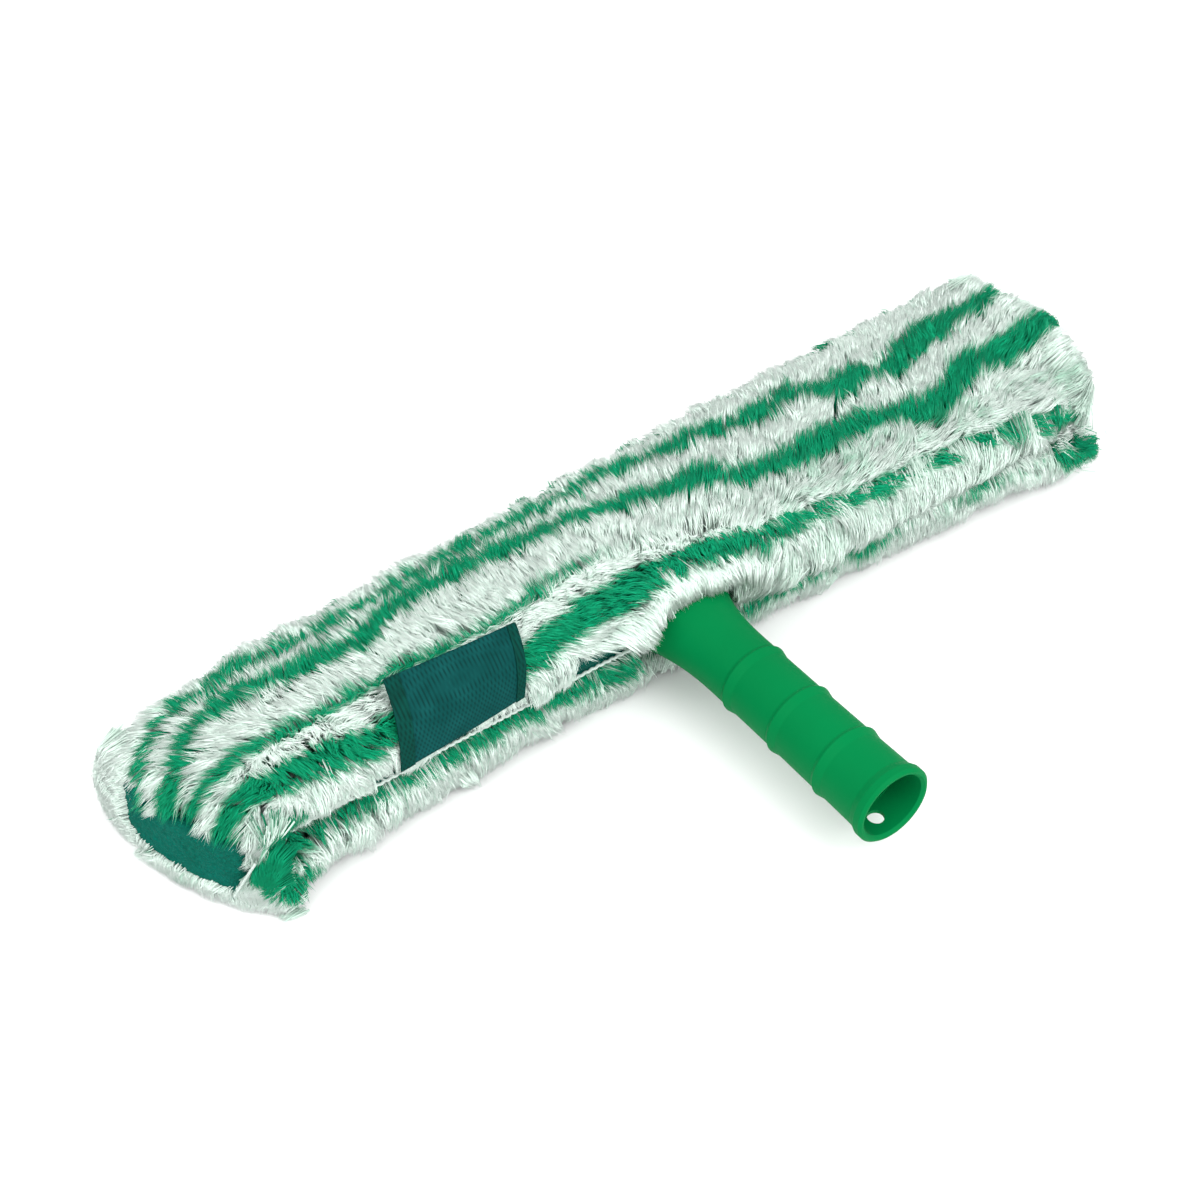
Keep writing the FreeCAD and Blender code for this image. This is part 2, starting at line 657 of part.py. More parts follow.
def build():
    blank = upper_blank()
    return {
        "handle_socket": handle_socket(),
        "crossbar": crossbar(),
        "left_end_cap": end_cap(-1),
        "right_end_cap": end_cap(1),
        "handle_screws": handle_screws(),
        "upper_plush": upper_plush(blank),
        "lower_plush": lower_plush(),
        "left_hem_tape": hem_tape(-1),
        "right_hem_tape": hem_tape(1),
        "snap_studs": Part.makeCompound(both_sides(snap_stud, STUD_X)),
        "snap_posts": Part.makeCompound(both_sides(snap_post, STUD_X)),
        "closure_flap": closure_flap(blank),
        "left_flap_facing": flap_facing(-1),
        "right_flap_facing": flap_facing(1),
        "flap_binding": flap_binding(blank),
        "snap_sockets": Part.makeCompound(both_sides(snap_socket, STUD_X)),
        "snap_caps": Part.makeCompound(both_sides(snap_cap, STUD_X)),
        "scrub_pad": end_layer(-1, PAD_SPAN_Y, PAD_SPAN_Z, PAD_SET, PAD_BACK),
        "left_end_panel": end_layer(-1, PAD_SPAN_Y, PAD_SPAN_Z, PAD_BACK, PANEL_BACK),
        "right_end_panel": end_layer(1, RIGHT_SPAN_Y, RIGHT_SPAN_Z, RIGHT_SET, RIGHT_BACK).common(side_block()),
        "sewn_label": label_plate(0.0),
    }


os.makedirs("parts", exist_ok=True)
for name, shape in build().items():
    shape.exportStep("parts/" + name + ".step")
    print(name, len(shape.Solids), "solids", round(shape.Volume / 1000, 2), "cm3", shape.isValid())
print("fold axis", at(0, -FLAP_PLANE, FOLD_Z))
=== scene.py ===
"""Looks of the window scrubber: plush sleeve, scouring pad, label and hems on a ringed pole handle.

Lengths are millimetres from the bar line, where the handle's axis meets the crossbar's: X runs along
the crossbar, -Y is the way the handle points, Z is up. to_row() turns them into the frame's metres.
"""
import math

import bpy
import numpy as np
from mathutils import Matrix, Vector


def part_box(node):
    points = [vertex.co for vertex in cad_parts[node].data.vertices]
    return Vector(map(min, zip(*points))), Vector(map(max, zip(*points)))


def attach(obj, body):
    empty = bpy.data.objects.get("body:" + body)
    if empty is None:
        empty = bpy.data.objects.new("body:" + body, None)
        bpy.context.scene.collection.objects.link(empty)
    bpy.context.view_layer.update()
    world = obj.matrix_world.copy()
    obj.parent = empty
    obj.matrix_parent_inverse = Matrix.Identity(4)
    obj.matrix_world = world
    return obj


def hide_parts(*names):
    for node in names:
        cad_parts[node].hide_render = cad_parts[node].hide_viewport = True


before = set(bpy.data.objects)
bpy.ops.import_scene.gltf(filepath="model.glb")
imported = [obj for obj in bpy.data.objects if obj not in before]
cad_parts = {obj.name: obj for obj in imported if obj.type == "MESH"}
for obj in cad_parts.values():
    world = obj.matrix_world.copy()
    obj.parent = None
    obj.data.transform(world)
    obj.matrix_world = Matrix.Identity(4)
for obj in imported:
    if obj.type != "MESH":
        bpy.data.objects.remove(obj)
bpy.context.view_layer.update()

MM = 0.001
BAR_LOW, BAR_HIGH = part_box("crossbar")
BAR_LINE = np.array((BAR_LOW + BAR_HIGH) / 2) / MM
FLOOR = -BAR_LINE[2]
random = np.random.default_rng(11)

# Camera, fitted to the handle's rings and the sleeve's outline
VIEW_AZIMUTH = 36.845
VIEW_ELEVATION = 44.138
VIEW_DISTANCE = 900.0
VIEW_ASIDE = -10.24          # camera's offset along its own right
VIEW_RAISE = -10.64          # camera's offset along its own up
FOCAL_PIXELS = 2736.7
IMAGE_PIXELS = 1200
SENSOR = 36.0

# Sleeve: an oval tube of backing cloth inside the pile
OVAL_CENTRE_Y = 2.0
SKIN_HALF_WIDTH = 28.0
SKIN_HALF_HEIGHT = 14.5
SQUARENESS = 0.8             # 1 is an ellipse, smaller is squarer
PILE_DEPTH = 9.2             # tip of the pile to the backing cloth
END_REACH = 185.5            # middle to either tip of the sleeve
LEFT_END_RADIUS = 92.0       # plan radius of the bulged left end
RIGHT_END_RADIUS = 140.0
RIGHT_SIDE_RADIUS = 45.0     # side radius of the right end
LEFT_CROWN_Y = 20.0
RIGHT_CROWN_Y = 0.0
DOME_START = 120.0           # left of here the upper lobe rounds down to its end
DOME_SHORT = 2.5             # how far short of the left tip the rounding stops
DOME_RUN = 70.0              # length over the rounding
DOME_LENGTH = 63.0
DOME_RISE = 22.0
BACK_FULL_X = 90.0           # left of here the back of the pile draws in
BACK_SLOPE = 0.03
SLEEVE_BACK = 42.0
LOWER_FLARE = 14.0           # how much further forward the lower lobe stands at its ends
SKIN_INSET = 11.0            # sleeve tip to the end cloth
END_ROUND = 8.0              # radius where the pile turns over the ends
END_DROP = 10.0              # how far the pile hangs down the ends
CAP_DOME = 2.0
CLOTH = 2.2                  # thickness of the backing cloth

# Section of the pile (y, z): arcs through three points, from the front groove round to the back
UPPER_ARCS = (
    ((-28, 0), (-33.4, 2.9), (-35, 9)),
    ((-35, 9), (-30.4, 16.5), (-22, 21)),
    ((-22, 21), (0, 24), (22, 21)),
    ((22, 21), (36, 16.2), (42, 6)),
    ((42, 6), (42.2, 3), (42, 0)),
)
LOWER_ARCS = (
    ((-28, 0), (-31.3, -3.8), (-33, -11)),
    ((-33, -11), (-30, -18.2), (-25.5, -22.8)),
    ((-25.5, -22.8), (0, -24), (33, -22.6)),
    ((33, -22.6), (39.8, -17), (42, -9)),
    ((42, -9), (42.3, -4.5), (42, 0)),
)

# Flap that folds up over the handle
FLAP_HALF = 60.0
FLAP_PLANE = -18.0
HANDLE_ROOM = 27.0           # half width of the gap in the pile round the handle's root
HANDLE_HOLE_HALF = 10.5      # half height of the hole in the backing cloth
HANDLE_ROOT_REACH = (19.0, 30.0, 42.0, 54.0)      # bar line to stations of the handle's root
HANDLE_ROOT_HALF = (23.0, 17.0, 13.2, 12.0)       # its half width there
END_GIRTH = 53.6             # distance over the pile from the front groove to the middle of the top

# Pile
BODY_STRANDS = 250000
RIGHT_FACE_STRANDS = 9000
FACE_HALF_WIDTH = 22.0       # part of the right end that the rounded rim leaves
FACE_HALF_HEIGHT = 9.0
FRINGE_STRANDS = 5500
PAD_SURROUND_STRANDS = 16000
STRAND_WIDTH = 0.30
LOCK_SPACING = 2.4           # between neighbouring locks of pile
LOCK_PULL = 0.4              # how far a strand's tip closes up to its lock
TUFT_SPACING = 7.5           # between neighbouring tufts, each of many locks
TUFT_PULL = 0.16
LEAN_SCATTER = (1.3, 0.9, 0.7)       # by tuft, by lock and by strand
DRIFT_SCATTER = (1.4, 1.0, 0.7)
TIP_SCATTER = (0.8, 0.3, 0.2)
LENGTH_SCATTER = (0.03, 0.04, 0.05)
LONG_STRANDS = 0.04          # share of the strands that stand out, and by how much of their length
LONG_EXTRA = 0.18
STRANDS_PER_PIECE = 19500
BACK_GIRTH = 95.0            # over the pile from the front groove to the back
BARE_TAPE_X = -36.0          # middle of the tape that shows beside the handle
BARE_TAPE_HALF = 12.5
RIGHT_CORNER = 162.0         # bar line to the rounded corner at the front right
STRAND_STATIONS = np.array((0.0, 0.55, 1.0))
STRAND_TAPER = np.array((1.0, 0.85))

STRIPE_SPREAD = 2.0          # how much wider a stripe is than it shows between white strands
# Green stripes: (x run on round the ends, distance over the pile from the front groove, width)
UPPER_STRIPES = (
    # Front stripe, thin right of the handle
    ((-192, 28, 6), (-178, 31.5, 6), (-170, 32.5, 7), (-160, 30.5, 9), (-150, 28, 9),
     (-140, 26, 10), (-115, 24, 9.5), (-62, 23.5, 9), (-50, 26, 10), (-30, 29, 10), (0, 29, 9),
     (10, 28, 8), (20, 25, 6), (35, 23, 6), (50, 22.5, 4), (100, 20, 4.2), (130, 17, 4.2),
     (150, 13.5, 4), (168, 7, 4), (178, 3, -3)),
    # Thin stripe above it, left of the handle
    ((-190, 42, 3), (-175, 43, 3), (-160, 45.2, 3.5), (-145, 43, 3), (-130, 41, 3.2),
     (-105, 42, 3), (-60, 42, 1.6), (-40, 46, 1.8), (-28, 47.5, 1.5), (-12, 45, -3),
     (170, 45, -3)),
    # Broad stripe on top
    ((-190, 47, 5), (-178, 53, 6), (-168, 60, 7.5), (-160, 66, 7), (-150, 67.5, 8), (-135, 65, 8),
     (-110, 62.5, 9), (-98, 61.5, 11), (-90, 67, 8), (-70, 70.5, 8.5), (-40, 70, 8),
     (-20, 68.5, 8), (0, 62.5, 8.5), (15, 58, 10), (30, 55, 11), (40, 50, 9), (60, 45, 8),
     (80, 46, 10), (100, 43, 9), (108, 40, 10), (116, 36.5, 11), (125, 41, 9.5), (140, 46, 10.5),
     (160, 44, 9), (180, 47, 7)),
    # Second stripe on top
    ((-190, 62, 4), (-178, 73, 5), (-166, 82.5, 6), (-145, 83, 6.5), (-118, 79.5, 6),
     (-100, 78.5, 5), (-75, 81, 5), (-40, 82.5, 5), (0, 84, 5), (15, 81, 6), (30, 77, 7),
     (40, 77.5, 8), (60, 71.5, 10), (82, 72.5, 10), (95, 63.5, 12.5), (108, 66, 10.5),
     (116, 60, 10.5), (128, 66, 11.5), (150, 70, 11), (165, 69, 8), (180, 72, 6)),
    # Back
    ((-150, 101, 8), (150, 101, 10)),
    # Tuft before the pad
    ((-188, 13, -3), (-180, 14, 8), (-164, 13, 8), (-156, 11, -3), (170, 11, -3)),
)
LOWER_STRIPES = (
    # Tuft at the front left corner
    ((-190, -20, -3), (-172, -16, 5), (-160, -14, 7), (-150, -14, 5), (-143, -14, -3),
     (170, -14, -3)),
    # Lower lip, broken up on the right
    ((-160, -4, -3), (-152, -4, 4), (-110, -4.5, 4), (-60, -4.6, 4.5), (-40, -6, 5), (-20, -8, 6),
     (18, -9, 4.5), (34, -8.5, 4.5), (42, -9, 1), (50, -8.5, 4.5), (62, -9, 1), (72, -8.5, 5),
     (84, -8.5, 2), (100, -9, -3), (122, -9, 1), (129, -8.5, 4.5), (136, -9, -2), (152, -10, -2),
     (160, -11, 5), (172, -12, 8)),
    # Front of the underside
    ((-170, -32.5, 7), (170, -34, 6)),
    # Middle of the underside
    ((-170, -55, 8), (170, -55, 8)),
    # Back of the underside
    ((-170, -79, 8), (170, -79, 8)),
)
# Where the pile parts into a front fall and a back fall: (x, distance from the front groove)
PARTING = ((-190, 36), (-150, 38), (-20, 41), (15, 33), (38, 27.5), (50, 26), (100, 22), (150, 17),
           (175, 12))
CREASE_FROM = 20.0
CREASE_FULL = 60.0


def to_row(points):
    """Bar-line millimetres to the frame's metres."""
    return (np.asarray(points, float) + BAR_LINE) * MM


def smooth(low, high, value):
    step = np.clip((value - low) / (high - low), 0.0, 1.0)
    return step * step * (3.0 - 2.0 * step)


def unit(vectors):
    return vectors / np.maximum(np.linalg.norm(vectors, axis=-1, keepdims=True), 1e-9)


# Section of the sleeve

def oval(turn, half_width, half_height):
    """Section points (y, z) of the backing cloth; turn 0 is the front and a quarter turn is the top."""
    across, up = np.cos(turn), np.sin(turn)
    y = OVAL_CENTRE_Y - half_width * np.sign(across) * np.abs(across) ** SQUARENESS
    z = half_height * np.sign(up) * np.abs(up) ** SQUARENESS
    return y, z


def arc_points(first, middle, last, count=160):
    """Points of the arc through three section points."""
    first, middle, last = (np.array(p, float) for p in (first, middle, last))
    chords = np.array((middle - first, last - first))
    squares = np.array([p @ p - first @ first for p in (middle, last)])
    centre = np.linalg.solve(chords, squares / 2)
    angles = [math.atan2(*(p - centre)[::-1]) for p in (first, middle, last)]
    through = (angles[1] - angles[0]) % (2 * math.pi)
    sweep = (angles[2] - angles[0]) % (2 * math.pi)
    sweep = sweep - 2 * math.pi if through > sweep else sweep
    angle = angles[0] + np.linspace(0.0, sweep, count)
    return centre + np.hypot(*(first - centre)) * np.stack((np.cos(angle), np.sin(angle)), axis=-1)


def lobe(arcs):
    return np.concatenate([arc_points(*arc)[:-1] for arc in arcs] + [np.array([arcs[-1][-1]], float)])


PILE_OUTLINE = np.concatenate((lobe(LOWER_ARCS)[:0:-1], lobe(UPPER_ARCS)))
PILE_GIRTH = np.concatenate(([0.0], np.cumsum(np.hypot(*np.diff(PILE_OUTLINE, axis=0).T))))
PILE_GIRTH -= PILE_GIRTH[len(lobe(LOWER_ARCS)) - 1]
PILE_TANGENT = unit(np.stack([np.gradient(PILE_OUTLINE[:, k], PILE_GIRTH) for k in (0, 1)], axis=-1))


def section(s):
    """Point (y, z) and direction of the pile's outline, s along it from the front groove."""
    place = [np.interp(s, PILE_GIRTH, PILE_OUTLINE[:, k]) for k in (0, 1)]
    tangent = unit(np.stack([np.interp(s, PILE_GIRTH, PILE_TANGENT[:, k]) for k in (0, 1)], axis=-1))
    return place[0], place[1], tangent


def girth_of_points(points):
    """Distance over the pile from the front groove for points near the sleeve."""
    outline_turn = np.unwrap(np.arctan2(PILE_OUTLINE[:, 1], OVAL_CENTRE_Y - PILE_OUTLINE[:, 0]))
    turn = np.arctan2(points[:, 2], OVAL_CENTRE_Y - points[:, 1])
    return np.interp(turn, outline_turn - np.interp(0.0, PILE_GIRTH, outline_turn), PILE_GIRTH)


def end_reach(side, y):
    """How far the bulged end reaches at y."""
    crown = np.where(side < 0, LEFT_CROWN_Y, RIGHT_CROWN_Y)
    radius = np.where(side < 0, LEFT_END_RADIUS, RIGHT_END_RADIUS)
    return END_REACH - radius + np.sqrt(radius ** 2 - (y - crown) ** 2)


DOME_TURN = np.linspace(0.0, math.pi / 2, 200)
DOME_STEPS = np.hypot(np.diff(DOME_LENGTH * np.sin(DOME_TURN)), np.diff(DOME_RISE * np.cos(DOME_TURN)))
DOME_SHARE = np.concatenate(([0.0], np.cumsum(DOME_STEPS)))
DOME_SHARE /= DOME_SHARE[-1]


def dome_height(x, y):
    """What is left of the upper lobe's height where it rounds down to its left end."""
    along = np.clip((-x - DOME_START) / (end_reach(-1, y) - DOME_SHORT - DOME_START), 0.0, 1.0)
    return np.sqrt(1.0 - along ** 2)


def pile_point(x, s):
    """Place on the pile's surface at x, run on round the ends, and s over it from the front groove."""
    y, z, tangent = section(s)
    along = np.abs(x)
    side = np.sign(x)
    y = y - BACK_SLOPE * np.clip(BACK_FULL_X - x, 0.0, 280.0) * np.clip(y / SLEEVE_BACK, 0.0, 1.0)
    flare = LOWER_FLARE * np.clip(along / END_REACH, 0.0, 1.0) ** 4 * smooth(0.0, -9.0, z)
    y = y - flare * np.clip(-y / 25.0, 0.0, 1.0)
    # The lower lobe and the right end turn over a rim
    side_bulge = RIGHT_SIDE_RADIUS - np.sqrt(RIGHT_SIDE_RADIUS ** 2 - z ** 2)
    reach = end_reach(side, y) - np.where(x > 0, side_bulge, 0.0)
    straight = reach - END_ROUND
    bend = np.clip((along - straight) / END_ROUND, 0.0, math.pi / 2)
    inward = END_ROUND * (1 - np.cos(bend)) + np.maximum(along - straight - END_ROUND * math.pi / 2, 0.0)
    place = np.stack((side * (np.minimum(along, straight) + END_ROUND * np.sin(bend)),
                      y + tangent[:, 1] * inward, z - tangent[:, 0] * inward), axis=-1)
    # The upper lobe rounds down to its left end
    turn = np.interp((along - DOME_START) / DOME_RUN, DOME_SHARE, DOME_TURN)
    past = np.maximum(along - DOME_START - DOME_RUN, 0.0)
    length = end_reach(-1, y) - DOME_SHORT - DOME_START
    dome_x = -np.minimum(along, DOME_START) - length * np.sin(turn)
    dome = np.stack((dome_x, y, z * np.cos(turn) - past), axis=-1)
    return np.where(((x < 0) & (s > 0))[:, None], dome, place)


def along_run(run, x, column):
    table = np.array(run, float)
    return np.interp(x, table[:, 0], table[:, column])


def stripe_mask(x, girth_at):
    """1 on a green stripe, 0 on white."""
    mask = np.zeros_like(x)
    for run in UPPER_STRIPES + LOWER_STRIPES:
        inside = (along_run(run, x, 2) + STRIPE_SPREAD) / 2 - np.abs(girth_at - along_run(run, x, 1))
        mask = np.maximum(mask, smooth(-1.7, 1.1, inside))
    return mask


def ripple(x, s, seed):
    """Slow, repeatable wandering between -1 and 1."""
    return (np.sin(0.061 * x + 1.7 * seed) * np.cos(0.09 * s + 2.3 * seed)
            + 0.6 * np.sin(0.143 * x - 0.11 * s + 4.1 * seed)
            + 0.4 * np.cos(0.31 * x + 0.23 * s + 0.7 * seed)) / 2.0


# Meshes

def new_piece(name, mesh, material, body, nodes=()):
    piece = bpy.data.objects.new(name, mesh)
    bpy.context.scene.collection.objects.link(piece)
    mesh.materials.append(material)
    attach(piece, body)
    if nodes:
        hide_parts(*nodes)
    return piece


def mesh_of(name, points, faces):
    mesh = bpy.data.meshes.new(name)
    mesh.from_pydata([tuple(p) for p in to_row(points)], [], faces)
    mesh.polygons.foreach_set("use_smooth", np.ones(len(mesh.polygons), bool))
    mesh.update()
    return mesh


def thick_sheet(name, outer, inner, keep=None):
    """A closed sheet between two grids of points; keep says which of the grid's cells are cloth."""
    rows, columns = outer.shape[:2]
    keep = np.ones((rows - 1, columns - 1), bool) if keep is None else keep
    layer = rows * columns

    def corner(i, j):
        return i * columns + j

    faces = []
    for i, j in np.argwhere(keep):
        a, b, c, d = corner(i, j), corner(i + 1, j), corner(i + 1, j + 1), corner(i, j + 1)
        faces.append((a, b, c, d))
        faces.append((layer + d, layer + c, layer + b, layer + a))
        sides = ((i, j - 1, a, b), (i + 1, j, b, c), (i, j + 1, c, d), (i - 1, j, d, a))
        for ni, nj, p, q in sides:
            inside = 0 <= ni < rows - 1 and 0 <= nj < columns - 1 and keep[ni, nj]
            if not inside:
                faces.append((q, p, layer + p, layer + q))
    points = np.concatenate((outer.reshape(-1, 3), inner.reshape(-1, 3)))
    used = np.unique([k for f in faces for k in f])
    renumber = np.full(len(points), -1)
    renumber[used] = np.arange(len(used))
    return mesh_of(name, points[used], [tuple(int(renumber[k]) for k in f) for f in faces])


def tube(name, path, radius, sides=8):
    """A closed round tube along a path of points, in bar-line millimetres."""
    path = np.asarray(path, float)
    tangent = unit(np.gradient(path, axis=0))
    side = unit(np.cross(tangent, np.array((0.123, 0.456, 0.881))))
    up = np.cross(side, tangent)
    angle = np.linspace(0.0, 2.0 * math.pi, sides, endpoint=False)
    ring = (np.cos(angle)[None, :, None] * side[:, None] + np.sin(angle)[None, :, None] * up[:, None])
    points = (path[:, None] + radius * ring).reshape(-1, 3)
    faces = []
    for i in range(len(path) - 1):
        for j in range(sides):
            k = (j + 1) % sides
            faces.append((i * sides + j, i * sides + k, (i + 1) * sides + k, (i + 1) * sides + j))
    faces.append(tuple(range(sides))[::-1])
    faces.append(tuple((len(path) - 1) * sides + j for j in range(sides)))
    return mesh_of(name, points, faces)


# Materials

def new_material(name, roughness):
    material = bpy.data.materials.new(name)
    material.use_nodes = True
    tree = material.node_tree
    shader = tree.nodes["Principled BSDF"]
    shader.inputs["Roughness"].default_value = roughness
    return material, tree, shader


def add(tree, kind, settings=None, **inputs):
    """Adds a node; inputs, by name or as i and a number, are values or another node's output."""
    node = tree.nodes.new(kind)
    for key, value in (settings or {}).items():
        setattr(node, key, value)
    for key, value in inputs.items():
        socket = node.inputs[int(key[1:])] if key[0] == "i" and key[1:].isdigit() else node.inputs[key]
        if isinstance(value, bpy.types.NodeSocket):
            tree.links.new(value, socket)
        else:
            socket.default_value = value
    return node


def mixed(tree, factor, first, second):
    """Colour between two colours; each of the three is a value or another node's output."""
    first, second = (c if isinstance(c, bpy.types.NodeSocket) else (*c, 1.0) for c in (first, second))
    node = add(tree, "ShaderNodeMix", {"data_type": "RGBA"}, i0=factor, i6=first, i7=second)
    return node.outputs[2]


def attribute(tree, name):
    return add(tree, "ShaderNodeAttribute", {"attribute_name": name}).outputs["Fac"]


def maths(tree, operation, *values):
    inputs = {f"i{place}": value for place, value in enumerate(values)}
    return add(tree, "ShaderNodeMath", {"operation": operation}, **inputs).outputs[0]


def ranged(tree, value, low, high, to_low=0.0, to_high=1.0):
    node = add(tree, "ShaderNodeMapRange", None, i1=low, i2=high, i3=to_low, i4=to_high)
    tree.links.new(value, node.inputs[0])
    return node.outputs[0]


def group_of(name, inputs, outputs):
    """An empty shader group with float inputs (name, value) and outputs (name, kind)."""
    group = bpy.data.node_groups.new(name, "ShaderNodeTree")
    for socket_name, value in inputs:
        socket = group.interface.new_socket(socket_name, in_out="INPUT", socket_type="NodeSocketFloat")
        socket.default_value = value
    for socket_name, kind in outputs:
        group.interface.new_socket(socket_name, in_out="OUTPUT", socket_type=kind)
    return group, group.nodes.new("NodeGroupInput"), group.nodes.new("NodeGroupOutput")


def place_group(tree, group, **values):
    node = tree.nodes.new("ShaderNodeGroup")
    node.node_tree = group
    for key, value in values.items():
        node.inputs[key].default_value = value
    return node


def bumped(tree, shader, height, strength, distance):
    bump = add(tree, "ShaderNodeBump", None, Strength=strength, Distance=distance, Height=height)
    tree.links.new(bump.outputs["Normal"], shader.inputs["Normal"])


def surfaced(tree, shader, colour, height, strength, distance, specular=None):
    """Gives a shader its colour, its relief and, where it isn't the usual one, its gloss."""
    tree.links.new(colour, shader.inputs["Base Color"])
    bumped(tree, shader, height, strength, distance)
    if specular is not None:
        shader.inputs["Specular IOR Level"].default_value = specular


def moulded_grain_group():
    """Faint flow marks and fine grain of moulded plastic: a shade mask and a height."""
    group, start, end = group_of(
        "moulded grain", (("Grain Scale", 900.0), ("Flow Scale", 18.0)),
        (("Shade", "NodeSocketFloat"), ("Height", "NodeSocketFloat")))
    place = add(group, "ShaderNodeNewGeometry").outputs["Position"]
    for scale, detail, result in (("Grain Scale", 3.0, "Height"), ("Flow Scale", 4.0, "Shade")):
        noise = add(group, "ShaderNodeTexNoise", None, Vector=place, Detail=detail,
                    Scale=start.outputs[scale])
        group.links.new(noise.outputs["Fac"], end.inputs[result])
    return group


def weave_group():
    """Plain woven tape: crossing threads as a height, with slow colour drift as a shade."""
    group, start, end = group_of(
        "tape weave", (("Threads", 5200.0),),
        (("Height", "NodeSocketFloat"), ("Shade", "NodeSocketFloat")))
    place = add(group, "ShaderNodeNewGeometry").outputs["Position"]
    parts = add(group, "ShaderNodeSeparateXYZ", None, Vector=place).outputs
    slope = maths(group, "SUBTRACT", parts["Z"], parts["Y"])
    waves = [maths(group, "SINE", maths(group, "MULTIPLY", source, start.outputs["Threads"]))
             for source in (parts["X"], slope)]
    lifted = maths(group, "MULTIPLY_ADD", maths(group, "MULTIPLY", *waves), 0.5, 0.5)
    drift = add(group, "ShaderNodeTexNoise", None, Vector=place, Scale=160.0, Detail=3.0)
    group.links.new(lifted, end.inputs["Height"])
    group.links.new(drift.outputs["Fac"], end.inputs["Shade"])
    return group


MOULDED_GRAIN = moulded_grain_group()
TAPE_WEAVE = weave_group()


def plastic(name, dark, light, roughness):
    material, tree, shader = new_material(name, roughness)
    grain = place_group(tree, MOULDED_GRAIN).outputs
    colour = mixed(tree, ranged(tree, grain["Shade"], 0.3, 0.7), dark, light)
    tree.links.new(ranged(tree, grain["Height"], 0.2, 0.8, roughness - 0.06, roughness + 0.08),
                   shader.inputs["Roughness"])
    surfaced(tree, shader, colour, grain["Height"], 0.12, 0.0002, 0.03)
    return material


def metal(name, colour, roughness):
    material, tree, shader = new_material(name, roughness)
    shader.inputs["Metallic"].default_value = 1.0
    grain = place_group(tree, MOULDED_GRAIN).outputs
    dark = tuple(0.75 * c for c in colour)
    shaded = mixed(tree, ranged(tree, grain["Shade"], 0.3, 0.7), dark, colour)
    surfaced(tree, shader, shaded, grain["Height"], 0.08, 0.0001)
    return material


def woven(name, dark, light, threads=5200.0, strength=0.5):
    material, tree, shader = new_material(name, 0.8)
    weave = place_group(tree, TAPE_WEAVE, Threads=threads).outputs
    shaded = mixed(tree, ranged(tree, weave["Shade"], 0.3, 0.7), dark, light)
    # Painted shade: the colour darkens where the weave's height dips.
    dip_shade = tuple(0.6 * c for c in dark)
    colour = mixed(tree, ranged(tree, weave["Height"], 0.0, 0.6), dip_shade, shaded)
    surfaced(tree, shader, colour, weave["Height"], strength, 0.0002, 0.08)
    return material


def pile_material():
    """Cut pile: white or green strands, painted darker towards the root as the shade deep in the pile, each
    darkened by its own painted shade.
    """
    material, tree, shader = new_material("striped_pile", 0.75)
    stripe, along, painted_shade, tint = (attribute(tree, name) for name in ("stripe", "along", "painted_shade", "tint"))
    # Painted shade: both colours darken towards the root, standing for the shade deep in the pile.
    white = mixed(tree, ranged(tree, along, 0.1, 0.75), (0.64, 0.78, 0.70), (0.89, 0.985, 0.93))
    white = mixed(tree, tint, white, (0.42, 0.78, 0.58))
    green = mixed(tree, ranged(tree, along, 0.1, 0.8), (0.0, 0.225, 0.105), (0.002, 0.38, 0.178))
    colour = mixed(tree, stripe, white, green)
    # Painted shade: strands with a low shade value are mixed towards a dark green-grey.
    shaded = mixed(tree, ranged(tree, painted_shade, 0.0, 1.0, 0.42, 0.0), colour, (0.05, 0.14, 0.09))
    tree.links.new(shaded, shader.inputs["Base Color"])
    shader.inputs["Specular IOR Level"].default_value = 0.1
    return material


def backing_material():
    """Knitted ground of the plush, in the stripes' own colours but darkened as painted shade of the deep
    pile.
    """
    material, tree, shader = new_material("plush_ground", 0.9)
    knit = add(tree, "ShaderNodeTexNoise", None, Scale=900.0, Detail=2.0).outputs["Fac"]
    # Painted shade: both colours are far darker than the pile's, and darker still in the knit's hollows.
    white = mixed(tree, knit, (0.42, 0.52, 0.46), (0.62, 0.70, 0.65))
    green = mixed(tree, knit, (0.0, 0.06, 0.03), (0.0, 0.15, 0.07))
    surfaced(tree, shader, mixed(tree, attribute(tree, "stripe"), white, green), knit, 0.6, 0.0006)
    return material


def fleece_material():
    """Scouring fleece: tangled coarse fibres, slightly clouded."""
    material, tree, shader = new_material("scouring_fleece", 0.85)
    place = add(tree, "ShaderNodeNewGeometry").outputs["Position"]
    tangle = add(tree, "ShaderNodeTexNoise", None, Vector=place, Scale=700.0, Detail=6.0, Roughness=0.7)
    fibres = add(tree, "ShaderNodeTexVoronoi", {"feature": "DISTANCE_TO_EDGE"}, Vector=place, Scale=900.0)
    cloud = add(tree, "ShaderNodeTexNoise", None, Vector=place, Scale=70.0, Detail=3.0)
    # Painted shade: the colour darkens where the tangle, which also sets the height, sinks.
    tangled = ranged(tree, tangle.outputs["Fac"], 0.3, 0.7)
    clouded = ranged(tree, cloud.outputs["Fac"], 0.35, 0.65, 0.0, 0.35)
    colour = mixed(tree, tangled, (0.0, 0.085, 0.058), (0.0, 0.155, 0.106))
    colour = mixed(tree, clouded, colour, (0.0, 0.16, 0.12))
    ridges = ranged(tree, fibres.outputs["Distance"], 0.0, 0.2, 0.6, 0.0)
    height = maths(tree, "ADD", tangle.outputs["Fac"], ridges)
    surfaced(tree, shader, colour, height, 0.8, 0.0008, 0.08)
    return material


